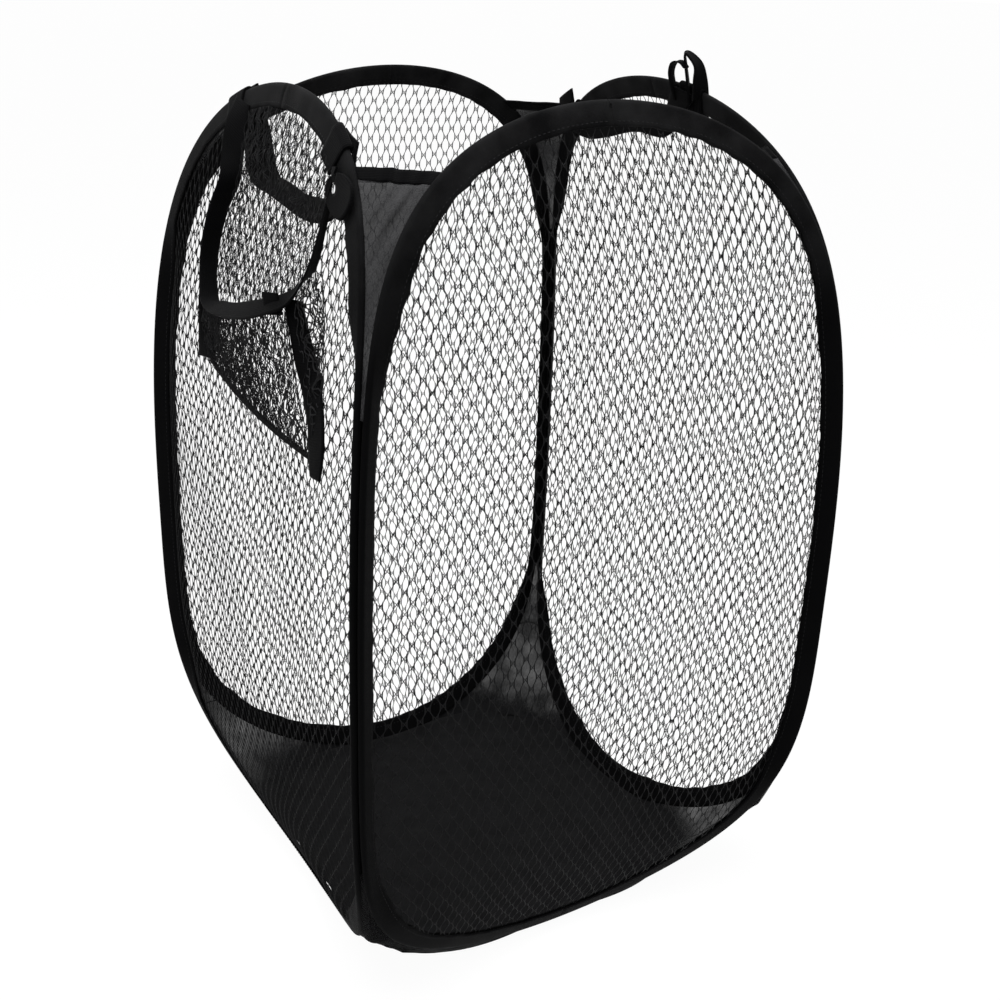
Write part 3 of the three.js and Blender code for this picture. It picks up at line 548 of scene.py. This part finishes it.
def netLook(name, colour):
    look, shader, place = newLook(name)
    twist = place.noise(1100.0, 2.0)
    cloud = place.noise(30.0)
    light = tuple(2.2 * part for part in colour)
    colourInto(shader, place, (twist * 0.6 + cloud * 0.5).between(0.3, 0.8), colour, light)
    bumpInto(shader, place, twist, 0.5, 0.0002)
    place.tree.links.new((twist * 0.25 + 0.5).socket, shader.inputs["Roughness"])
    shader.inputs["Specular IOR Level"].default_value = 0.15
    return look


# Drawn steel, with faint scratches along it.
def steelLook(name, metal):
    look, shader, place = newLook(name)
    scratch = place.noise(700.0, 3.0)
    colourInto(shader, place, scratch, metal["dark"], metal["light"])
    bumpInto(shader, place, scratch, 0.2, 0.0001)
    place.tree.links.new((scratch * 0.25 + 0.25).socket, shader.inputs["Roughness"])
    shader.inputs["Metallic"].default_value = 1.0
    return look


# The binding's look is given painted light: brighter on the top arcs, darker lower down.
bindingLook = tapeLook("bindingTape", binding, True)
webbingLook = tapeLook("handleWebbing", webbing)
threadLook = netLook("stitchThread", stitch["colour"])
netStrandLook = netLook("netStrand", net["colour"])
pocketNetLook = netLook("pocketNetStrand", pocketNet["colour"])
sheerLook = fibreLook("sheerCloth", topGusset)
hemLook = tapeLook("hemTape", topHem)
baseLook = fibreLook("baseCornerCloth", baseGusset)
floorLook = fibreLook("floorCloth", floorCloth)
wireLook = steelLook("springSteel", steel)
nodeLooks = {"hoop_wire": wireLook, "crimp_sleeve": wireLook, "edge_binding": bindingLook,
             "mesh_panel": netStrandLook, "top_gusset": sheerLook, "gusset_hem": hemLook,
             "base_gusset": baseLook, "floor_cloth": floorLook, "tab": webbingLook,
             "strap": webbingLook, "tape": bindingLook, "tail": bindingLook,
             "front_net": pocketNetLook, "side": pocketNetLook}
for name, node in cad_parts.items():
    look = next(made for part, made in nodeLooks.items() if part in name)
    node.data.materials.clear()
    node.data.materials.append(look)


def finishPiece(piece, nodes, body):
    if nodes:
        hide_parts(*nodes)
    if isinstance(body, str):
        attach(piece, body)
    else:
        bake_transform(piece)


# Where cloth bends at a sewn corner: over a short way across the corner's diagonal.
def bendAt(corner, reach=bend["seamReach"]):
    if corner not in folds:
        return None
    quarter = corners[corner]
    place = np.array(bend["place"]) / 1000
    way = np.array([1, -1, 0]) * reach / 1000
    start, end = turned([place - way, place + way], quarter)
    if quarter > 1:  # there the pair's first body is the one on the far side of the turn
        start, end = end, start
    return folds[corner], tuple(start), tuple(end)


print("nets")


def strandHeights(across, inset):
    edge = outline + outlineInward * inset
    turn = int(np.argmax(edge[:, 0]))
    low = np.interp(np.abs(across), edge[:turn, 0], edge[:turn, 1])
    high = np.interp(-np.abs(across), -edge[turn:, 0], edge[turn:, 1])
    return low, high, edge[turn, 0]


# across = middle +- swing * (cos(phase) - harmonic cos(3 phase)), phase = pi * height / row. Two
# neighbours swing against each other, so they bound one cell and then close in on the next.
def wale(middle, sign, height, swing, row):
    phase = math.pi * height / row
    return middle + sign * swing * (np.cos(phase) - net["harmonic"] * np.cos(3 * phase))


def makeNet(side, seed):
    spacing = net["pitch"] / 2
    _, _, widest = strandHeights(np.zeros(1), net["inset"])
    count = int(2 * (widest - net["sideGap"]) / spacing)
    paths, ties = [], []
    step = net["row"] / net["stepsPerRow"]
    for index in range(count + 1):
        middle = (index - count / 2) * spacing
        low, high, _ = strandHeights(np.array([middle]), net["inset"])
        inner = np.arange(math.ceil(low[0] / step), math.floor(high[0] / step) + 1) * step
        if len(inner) < net["leastSteps"]:
            continue
        height = np.concatenate([low, inner[1:-1], high])
        sign = 1 if index % 2 else -1
        # Two threads lie side by side, and the inner one swings less.
        for swing in net["swings"]:
            across = wale(middle, sign, height, swing, net["row"])
            paths.append(np.stack([across, np.zeros(len(height)), height], 1))
        # Where this strand and the next close in, two thin ties cross between them.
        nextLow, nextHigh, _ = strandHeights(np.array([middle + spacing]), net["inset"])
        parity = 0 if sign > 0 else 1
        row = np.arange(math.ceil(low[0] / net["row"]) + 1, int(high[0] / net["row"]))
        row = row[(row % 2 == parity) & (row * net["row"] > nextLow[0] + net["tieMargin"])
                  & (row * net["row"] < nextHigh[0] - net["tieMargin"])]
        for shift in net["tieShifts"]:
            start, end = (row + shift) * net["row"], (row - shift) * net["row"]
            if len(row) and index < count:
                left, right = middle + net["swings"][0], middle + spacing - net["swings"][0]
                ties.append(np.stack([
                    np.stack([np.full(len(row), left), 0 * start, start], 1),
                    np.stack([np.full(len(row), right), 0 * end, end], 1)], 1))
    drawn = {"Net": strands(paths, net["radius"]),
             "NetTies": strands([np.concatenate(ties)], net["tieRadius"])}
    made = [addMesh(side + part, onPanel(side, hung(points, widest, seed)),
                    outward(points, faces), netStrandLook)
            for part, (points, faces) in drawn.items()]
    finishPiece(made[0], [side + "_mesh_panel"], side + "_panel")
    finishPiece(made[1], [], side + "_panel")


# The net's own slack: it wanders in its plane and billows, less near the binding.
def hung(points, widest, seed):
    flat = points[:, [0, 2]]
    fade = clipped((widest - np.abs(points[:, 0])) / net["fadeAcross"])
    fade *= clipped(points[:, 2] / net["fadeUp"])
    fade *= clipped((hoop["height"] - points[:, 2]) / net["fadeUp"])
    acrossSize, upSize, billowSize = net["waveSizes"]
    points[:, 0] += net["warp"] * waves(flat, acrossSize, seed) * fade
    points[:, 2] += net["warp"] * waves(flat, upSize, seed + 1) * fade
    points[:, 1] += net["billow"] * waves(flat, billowSize, seed + 2) * fade
    # The turned tapes draw the net inward near the seams.
    edge = np.interp(points[:, 2], outline[:, 1], outline[:, 0])
    edge = edge - binding["width"] + net["seamStart"]
    near = clipped(1 - (edge - np.abs(points[:, 0])) / net["seamReach"]) ** 2
    points[:, 1] += net["seamPull"] * near * seamShare(points[:, 2])
    return points


for order, side in enumerate(quarters):
    makeNet(side, seeds["net"] + 7 * order)

print("bindings")


# The tape's middle line in its section, as inset from the outline and inward offset: down one
# leg, round the wire and back along the other leg.
def bindingSection():
    swell, hem = binding["swell"] - binding["thickness"] / 2, binding["hem"]
    leg = np.linspace(binding["width"], binding["legEnd"], binding["legSteps"])
    swollen = clipped((binding["width"] - leg) / binding["swellLength"]) ** binding["swellPower"]
    rise = hem + (swell - hem) * swollen
    angle = np.linspace(math.pi / 2, 3 * math.pi / 2, binding["bendSteps"])
    inset = binding["wireInset"] + binding["bendRadius"] * np.cos(angle)
    around = np.stack([inset, swell * np.sin(angle)], 1)
    upper = np.stack([leg, rise], 1)
    return np.concatenate([upper, around, upper[::-1] * (1, -1)])


def makeBinding(side, right, seed):
    lengths = np.linspace(0, outlineLength[-1], binding["rings"])
    x, z, inwardX, inwardZ = outlineAt(lengths)
    x[[0, -1]] = -binding["lap"]  # the halves lap over each other
    x, z, inwardX, inwardZ = (column[:, None] for column in (x, z, inwardX, inwardZ))
    inset, inward = bindingSection().T[:, None]
    loose = clipped((inset - binding["looseFrom"]) / binding["looseLength"])
    places = np.stack([lengths, np.zeros(len(lengths))], 1)
    fromEnd = np.minimum(lengths, lengths[-1] - lengths)
    joined = clipped(fromEnd / binding["joinLength"])[:, None]
    pucker = waves(places, binding["puckerSize"], seed)[:, None] * binding["pucker"] * joined
    ripple = waves(places, binding["rippleSize"], seed + 1)[:, None] * binding["pucker"]
    ripple = ripple * binding["rippleShare"] * joined
    lifted = loose * np.sign(inward) * np.abs(pucker) * binding["puckerLift"]
    inset, inward = leaned(inset + loose * (pucker * binding["puckerInset"] + ripple),
                           inward + lifted, z)
    across = (x + inwardX * inset) * (1 if right else -1)
    grid = onPanel(side, np.stack([across, inward, z + inwardZ * inset], -1))
    name = side + ("Right" if right else "Left") + "Binding"
    piece = clothPiece(name, grid, binding["thickness"], bindingLook)
    stitches = makeStitches(side, right, name)
    corner = list(corners)[(quarters[side] + right) % 4]
    body = bendAt(corner) or side + "_panel"
    finishPiece(piece, [side + "_edge_binding"], body)
    finishPiece(stitches, [], side + "_panel")


# Short stitches on both faces of the binding, a fixed way from its inner edge.
def makeStitches(side, right, name):
    count = int(outlineLength[-1] / stitch["pitch"])
    middle = (np.arange(count) + 0.5) * stitch["pitch"]
    paths = []
    for face in (-1, 1):
        ends = np.stack([middle - stitch["length"] / 2, middle, middle + stitch["length"] / 2], 1)
        x, z, inwardX, inwardZ = outlineAt(ends)
        lift = np.array(stitch["lifts"]) * face
        inset, lift = leaned(stitch["inset"], lift, z)
        across = (x + inwardX * inset) * (1 if right else -1)
        paths.append(np.stack([across, lift, z + inwardZ * inset], -1))
    points, faces = strands([np.concatenate(paths)], stitch["radius"], 4)
    points = onPanel(side, points)
    return addMesh(name + "Stitches", points, outward(points, faces), threadLook)


for order, side in enumerate(quarters):
    makeBinding(side, False, seeds["leftBinding"] + 5 * order)
    makeBinding(side, True, seeds["rightBinding"] + 5 * order)

print("corner cloth")


def besideEdge(height, distance):
    edge = outline - outlineInward * distance
    return np.interp(height, edge[:, 1], edge[:, 0])


# A row of the corner cloth at each height. Its pull towards the corner makes the row bow:
# from (1 - t)^2 + pull 2 t (1 - t) + to t^2.
def cornerGrid(heights, columns, distance, reach=None):
    side, plane = besideEdge(heights, distance), halfWidth(heights)
    start = np.stack([-side, -plane, heights], 1)
    end = np.stack([-plane, -side, heights], 1)
    middle = (start + end) / 2
    corner = middle if reach is None else np.stack([-reach, -reach, heights], 1)
    pull = 2 * corner - middle
    share = np.linspace(0, 1, columns)[None, :, None]
    return (start[:, None] * (1 - share) ** 2 + pull[:, None] * 2 * share * (1 - share)
            + end[:, None] * share ** 2), np.broadcast_to(share[..., 0], (len(heights), columns))


# The parts of a corner's cloth, each with its columns and what carries it. The front right
# corner has no joint of its own, so its cloth is cut in halves that stay with their panels.
def cornerParts(corner, grid):
    fold = bendAt(corner, bend["clothReach"])
    if fold:
        return [("", grid, fold)]
    half = grid.shape[1] // 2
    return [("Right", grid[:, :half + 1], "right_panel"), ("Front", grid[:, half:], "front_panel")]


# The two tapes of a corner are sewn edge to edge over this strip.
def makeSeam(corner):
    heights = np.linspace(seam["from"], seam["to"], seam["rows"])
    grid, _ = cornerGrid(heights, seam["columns"], -seam["tuck"])
    grid = grid + np.array([1, 1, 0]) * seam["inward"]
    piece = clothPiece(corner + "SeamStrip", turned(grid, corners[corner]), seam["thickness"],
                       hemLook)
    finishPiece(piece, [], bendAt(corner) or "front_panel")
    declareCloth(piece, grid, "stretched")


def makeTopGusset(corner, seed):
    quarter = corners[corner]
    rim, columns = topGusset["rims"][quarter], topGusset["columns"]
    heights = np.linspace(topGusset["from"], rim, topGusset["rows"])
    grid, share = cornerGrid(heights, columns, topGusset["gap"])
    rise = ((heights - heights[0]) / (heights[-1] - heights[0]))[:, None]
    fade = np.sin(math.pi * share) ** 0.5
    wide = np.linalg.norm(grid[:, -1] - grid[:, 0], axis=1)[:, None]
    lay = np.stack([share * wide, rise * topGusset["layHeight"] + 0 * share], -1)
    (small, large), (smallShare, largeShare) = topGusset["foldSizes"], topGusset["foldShares"]
    folded = waves(lay, small, seed, 7) * smallShare + waves(lay, large, seed + 1) * largeShare
    folded = topGusset["crease"] * folded * np.minimum(1, wide / topGusset["creaseWidth"])
    push = fade * (topGusset["sag"] * rise + folded)
    grid = grid + push[..., None] * np.array([1, 1, 0]) / math.sqrt(2)
    grid[..., 2] -= topGusset["dip"] * fade * rise * topGusset["sag"]
    # The hem's band keeps to the cloth's top row, whose folds it follows.
    rims = rim + topHem["lift"] + topHem["height"] * np.linspace(0, 1, topHem["rows"])
    band, _ = cornerGrid(rims, columns, topGusset["gap"])
    band = band + (grid[-1] - band[0]) * (1, 1, 0)
    for (part, cloth, body), (_, tape, _) in zip(cornerParts(corner, grid),
                                                 cornerParts(corner, band)):
        piece = clothPiece(corner + "TopCloth" + part, turned(cloth, quarter),
                           topGusset["thickness"], sheerLook)
        hem = clothPiece(corner + "TopHem" + part, turned(tape, quarter), topHem["thickness"],
                         hemLook)
        finishPiece(piece, [corner + "_top_gusset"], body)
        finishPiece(hem, [corner + "_top_gusset_hem"], body)
        declareCloth(piece, cloth, "stretched", with_pieces=[hem])


def makeBaseGusset(corner, seed):
    quarter = corners[corner]
    foot, seamBase, columns = (baseGusset[key] for key in ("foot", "seamBase", "columns"))
    heights = foot + (seamBase - foot) * np.linspace(0, 1, baseGusset["rows"]) ** 1.5
    upper = float(halfWidth(np.array(seamBase))) - baseGusset["ridgeInset"]
    rise = (heights - heights[0]) / (heights[-1] - heights[0])
    reach = baseGusset["cornerReach"] + (upper - baseGusset["cornerReach"]) * rise
    footGrid, _ = cornerGrid(heights, columns, baseGusset["footGap"], reach)
    grid, share = cornerGrid(heights, columns, baseGusset["gap"], reach)
    away = eased((heights - baseGusset["gapFrom"]) / baseGusset["gapLength"])
    grid = footGrid + (grid - footGrid) * away[:, None, None]
    fade = np.sin(math.pi * share) * np.minimum(1, rise * 6)[:, None] * (1 - rise[:, None]) ** 0.4
    lay = np.stack([share * baseGusset["layWidth"],
                    rise[:, None] * baseGusset["layHeight"] + 0 * share], -1)
    small, large = baseGusset["foldSizes"]
    push = fade * baseGusset["crease"] * (waves(lay, small, seed, 7) + waves(lay, large, seed + 1))
    grid = grid + push[..., None] * np.array([1, 1, baseGusset["creaseUp"]])
    for part, cloth, body in cornerParts(corner, grid):
        piece = clothPiece(corner + "BaseCloth" + part, turned(cloth, quarter),
                           baseGusset["thickness"], baseLook)
        finishPiece(piece, [corner + "_base_gusset"], body)
        declareCloth(piece, cloth, "stretched")
    # Above the ridge a narrow tongue of the cloth runs up between the tapes.
    heights = np.linspace(seamBase - tongue["overlap"], baseGusset["to"], tongue["rows"])
    grid, _ = cornerGrid(heights, tongue["columns"], baseGusset["gap"],
                         halfWidth(heights) - baseGusset["ridgeInset"])
    piece = clothPiece(corner + "BaseTongue", turned(grid, quarter), baseGusset["thickness"],
                       baseLook)
    finishPiece(piece, [], bendAt(corner) or "front_panel")
    declareCloth(piece, grid, "stretched")


def makeFloor():
    line = np.linspace(-1, 1, floorCloth["rows"])
    x, y = np.meshgrid(line, line)
    away = np.abs([y, x])
    out = np.maximum(np.abs(x), np.abs(y))
    flare = clipped((away - floorCloth["flareFrom"]) / floorCloth["flareLength"])
    edge = (floorCloth["edge"] + floorCloth["flare"] * flare
            - floorCloth["cornerPull"] * away ** floorCloth["pullPower"])
    flat = np.stack([x * edge[0], y * edge[1]], -1)
    ripple = sum(share * waves(flat, size, seeds["floor"] + order, 7) for order, (size, share)
                 in enumerate(zip(floorCloth["rippleSizes"], floorCloth["rippleShares"])))
    fade = clipped((1 - out) * floorCloth["rippleFade"])
    height = (floorCloth["thickness"] / 2 + floorCloth["lift"]
              + floorCloth["ripple"] * clipped(ripple) * fade)
    # The edge climbs the binding as far as the hoop leaves the ground, up to the lip's height.
    along = np.where(np.abs(x) > np.abs(y), flat[..., 1], flat[..., 0])
    climb = np.clip(strandHeights(along, binding["wireInset"])[0], 0, floorCloth["lip"])
    lifted = clipped((out - floorCloth["lipFrom"]) / (1 - floorCloth["lipFrom"]))
    height += climb * lifted
    flat = flat + floorCloth["lipReach"] * lifted[..., None] * np.sign(flat) * (
        np.stack([np.abs(x) >= np.abs(y), np.abs(y) >= np.abs(x)], -1))
    piece = clothPiece("baseCloth", np.concatenate([flat, height[..., None]], -1),
                       floorCloth["thickness"], floorLook)
    reach = floorCloth["bendReach"] / 1000
    finishPiece(piece, ["floor_cloth"],
                (("left_panel", "front_panel"), (-reach, reach, 0), (reach, -reach, 0)))
    clothArea(piece)


for order, corner in enumerate(corners):
    makeSeam(corner)
    makeTopGusset(corner, seeds["topGusset"] + 9 * order)
    makeBaseGusset(corner, seeds["baseGusset"] + 9 * order)
makeFloor()

print("handles")


# A band between two edge lines, widened from its middle and cupped slightly across.
def ribbon(name, side, rows, thickness, band, widen=1.0):
    steps, cup = bands[band]
    rows = np.array(rows, float)
    middle = rows.mean(1, keepdims=True)
    edges = smoothCurve(middle + (rows - middle) * widen, steps)
    share = np.linspace(0, 1, webbing["columns"])[None, :, None]
    grid = edges[:, :1] * (1 - share) + edges[:, 1:] * share
    grid = grid + surfaceNormals(grid) * cup * (4 * share * (1 - share) - 0.5)
    return clothPiece(name, onPanel(side, grid), thickness, webbingLook)


# A sewn end folded over the binding: up one face, over the edge and down the other.
def tabGrid(across):
    top = outline[:, 1] > hoop["waistHeight"]
    length = np.interp(abs(across), outline[top][::-1, 0], outlineLength[top][::-1])
    half = tab["width"] / 2
    x, z, inwardX, inwardZ = (column[:, None] for column in outlineAt(
        length + np.linspace(-half, half, tab["steps"])))
    angle = np.linspace(math.pi / 2, 3 * math.pi / 2, tab["steps"])
    leg = np.linspace(tab["length"], tab["bendInset"], tab["legSteps"])
    around = tab["bendInset"] + tab["bendRadius"] * np.cos(angle)
    depth = np.concatenate([leg, around, leg[::-1]])
    out = np.concatenate([0 * leg + 1, np.sin(angle), 0 * leg - 1]) * tab["gap"]
    x = (x + inwardX * depth) * np.sign(across)
    z = z + inwardZ * depth
    return np.stack([x, np.broadcast_to(out, x.shape), z], -1)


# A node's name in the way of the scene's own names.
def joinedName(nodeName):
    first, *others = nodeName.split("_")
    return first + "".join(other.capitalize() for other in others)


for name, (side, across) in tabs.items():
    made = clothPiece(joinedName(name), onPanel(side, tabGrid(across)), tab["thickness"],
                      webbingLook)
    finishPiece(made, [name], side + "_panel")
for side, handle in (("left", leftHandle), ("right", rightHandle)):
    made = ribbon(side + "Strap", side, handle["rows"], handle["thickness"], "strap")
    finishPiece(made, [side + "_handle_strap"], side + "_handle")
for name, side, loop in (("tallLoop", "right", loopEnd), ("smallLoop", "right", smallLoop),
                         ("tuckedLoop", "left", tuckedLoop)):
    made = ribbon(name, side, loop["rows"], loop["thickness"], "loop")
    finishPiece(made, [], side + "_panel")

print("pocket")
# Each tape's nodes, its kind of band and how far it is widened.
tapes = {"mouth": (["pocket_mouth_tape"], "mouth", 1.3),
         "leftTail": (["pocket_back_tail"], "tape", 1.3),
         "rightTail": (["pocket_front_tail"], "tape", 1.3),
         "bottom": (["pocket_bottom_tape"], "tape", 0.8), "knot": ([], "tape", 1.3)}
for name, (nodes, band, widen) in tapes.items():
    made = ribbon(name + "PocketTape", "left", pocketTape[name], pocketTape["thickness"], band,
                  widen)
    finishPiece(made, nodes, "left_panel")


# A net laid over a surface given by rows of control places: its strands are drawn flat and
# then carried to the surface, with crumples pushed in and out of it.
def crumpledNet(name, rows, nodes, layers, seed, radius=pocketNet["radius"]):
    columns, count = pocketNet["columns"], pocketNet["rows"]
    surface = smoothCurve(np.array([smoothCurve(row, columns) for row in rows]), count)
    wide = np.linalg.norm(np.diff(surface[0], axis=0), axis=1).sum()
    tall = np.linalg.norm(np.diff(surface[:, columns // 2], axis=0), axis=1).sum()
    spacing, inset = pocketNet["pitch"] / 2, pocketNet["edgeInset"]
    height = np.arange(0, tall + 0.01, pocketNet["row"] / pocketNet["stepsPerRow"])
    paths = []
    for layer in range(layers):
        shift, climb = layer * spacing * pocketNet["layerShift"], layer * pocketNet["layerRise"]
        for index in range(1, int(wide / spacing)):
            across = wale(index * spacing + shift, 1 if index % 2 else -1, height + climb,
                          pocketNet["swing"], pocketNet["row"])
            across = np.clip(across, inset, wide - inset)
            paths.append(np.stack([across, np.full(len(height), float(layer)), height], 1))
    drawn, faces = strands([np.array(paths)], radius)
    u, v = drawn[:, 0] / wide * (columns - 1), drawn[:, 2] / tall * (count - 1)
    u, v = np.clip(u, 0, columns - 1.001), np.clip(v, 0, count - 1.001)
    i, j = v.astype(int), u.astype(int)
    a, b = (v - i)[:, None], (u - j)[:, None]
    base = ((surface[i, j] * (1 - b) + surface[i, j + 1] * b) * (1 - a)
            + (surface[i + 1, j] * (1 - b) + surface[i + 1, j + 1] * b) * a)
    fade = clipped(np.minimum(drawn[:, 0], wide - drawn[:, 0]) / pocketNet["fadeLength"])
    fade *= clipped(np.minimum(drawn[:, 2], tall - drawn[:, 2]) / pocketNet["fadeLength"])
    lay, layer, waveCount = drawn[:, [0, 2]], drawn[:, 1].round(), pocketNet["waveCount"]
    (large, small), wander = pocketNet["foldSizes"], pocketNet["wander"]
    crease = waves(lay, large, seed, waveCount)
    crease = crease + pocketNet["foldShare"] * waves(lay, small, seed + 1, waveCount)
    crease = crease * (1 + pocketNet["layerFold"] * layer)
    push = -np.abs(pocketNet["crumple"] * crease) + layer * pocketNet["layerGap"]
    base[:, 1] += drawn[:, 1] - layer + push * fade
    acrossSize, upSize = pocketNet["wanderSizes"]
    base[:, 0] += wander * waves(lay, acrossSize, seed + 2, waveCount) * fade
    base[:, 2] += wander * waves(lay, upSize, seed + 3, waveCount) * fade
    base[:, 1] = np.minimum(base[:, 1], -pocketNet["clearance"])
    points = onPanel("left", base)
    made = addMesh(name, points, outward(points, faces), pocketNetLook)
    finishPiece(made, nodes, "left_panel")
    declareCloth(made, surface, "gathered", pocketNet["fullness"])


crumpledNet("pocketFrontNet", [pocketNet["seam"], pocketNet["rim"]], ["pocket_front_net"],
            pocketNet["layers"], seeds["pocketFront"], pocketNet["frontRadius"])
crumpledNet("pocketBackNet", pocketNet["back"], [], pocketNet["sideLayers"], seeds["pocketBack"],
            pocketNet["backRadius"])
for order, (name, rows) in enumerate(sideNets.items()):
    crumpledNet(name.replace("_", "") + "Net", rows, [name], pocketNet["sideLayers"],
                seeds["pocketSide"] + 9 * order)

print("stage")


# One for camera, glossy and transmission rays, which all see the white background.
def seenDirectly(tree):
    ray = tree.nodes.new("ShaderNodeLightPath")
    kinds = [Value(tree, ray.outputs[name])
             for name in ("Is Camera Ray", "Is Glossy Ray", "Is Transmission Ray")]
    return kinds[0].math("MAXIMUM", kinds[1]).math("MAXIMUM", kinds[2])


ground = bpy.data.meshes.new("ground")
reach = light["ground"]
ground.from_pydata([(-reach, -reach, 0), (reach, -reach, 0), (reach, reach, 0), (-reach, reach, 0)],
                   [], [(0, 1, 2, 3)])
newObject("ground", ground)
pale = bpy.data.materials.new("paleGround")
pale.use_nodes = True
tree = pale.node_tree
tree.nodes["Principled BSDF"].inputs["Base Color"].default_value = light["groundColour"]
tree.nodes["Principled BSDF"].inputs["Roughness"].default_value = 0.9
glow = tree.nodes.new("ShaderNodeEmission")
glow.inputs["Strength"].default_value = light["groundGlow"]
mixed = tree.nodes.new("ShaderNodeMixShader")
tree.links.new((seenDirectly(tree) * light["groundShare"]).socket, mixed.inputs[0])
tree.links.new(tree.nodes["Principled BSDF"].outputs[0], mixed.inputs[1])
tree.links.new(glow.outputs[0], mixed.inputs[2])
tree.links.new(mixed.outputs[0], tree.nodes["Material Output"].inputs["Surface"])
ground.materials.append(pale)

world = bpy.data.worlds.new("sky")
bpy.context.scene.world = world
world.use_nodes = True
sky = world.node_tree
plain = sky.nodes["Background"]
plain.inputs["Strength"].default_value = light["sky"]
plain.inputs["Color"].default_value = (1, 1, 1, 1)
white = sky.nodes.new("ShaderNodeBackground")
white.inputs["Strength"].default_value = 1.0
white.inputs["Color"].default_value = (1, 1, 1, 1)
both = sky.nodes.new("ShaderNodeMixShader")
sky.links.new(seenDirectly(sky).socket, both.inputs[0])
sky.links.new(plain.outputs[0], both.inputs[1])
sky.links.new(white.outputs[0], both.inputs[2])
sky.links.new(both.outputs[0], sky.nodes["World Output"].inputs["Surface"])


def addLamp(name, place, power, size):
    lamp = bpy.data.lights.new(name, "AREA")
    lamp.energy, lamp.size = power, size
    away = unit(np.array(place) - light["target"])
    side = unit(np.cross([0, 0, 1], away))
    facing = Matrix(np.stack([side, np.cross(away, side), away], 1).tolist())
    made = newObject(name, lamp)
    made.rotation_mode = "QUATERNION"
    made.rotation_quaternion = facing.to_quaternion()
    made.location = place


for name, (place, power, size) in lamps.items():
    addLamp(name, place, power, size)

a, e, r = camera["azimuth"], camera["elevation"], camera["roll"]
forward = np.array([-math.sin(a) * math.cos(e), math.cos(a) * math.cos(e), -math.sin(e)])
right = np.array([math.cos(a), math.sin(a), 0.0])
up = np.cross(right, forward)
tiltedRight = right * math.cos(r) + up * math.sin(r)
tiltedUp = -right * math.sin(r) + up * math.cos(r)
lens = bpy.data.cameras.new("camera")
lens.lens, lens.sensor_width = camera["lens"], camera["sensor"]
lens.shift_x, lens.shift_y = camera["shift"]
lens.clip_start, lens.clip_end = camera["clip"]
cameraObject = newObject("camera", lens)
cameraObject.matrix_world = Matrix([
    (tiltedRight[i], tiltedUp[i], -forward[i], camera["place"][i] / 1000) for i in range(3)]
    + [(0, 0, 0, 1)])
bpy.context.scene.camera = cameraObject
bpy.context.scene.view_settings.view_transform = "Standard"
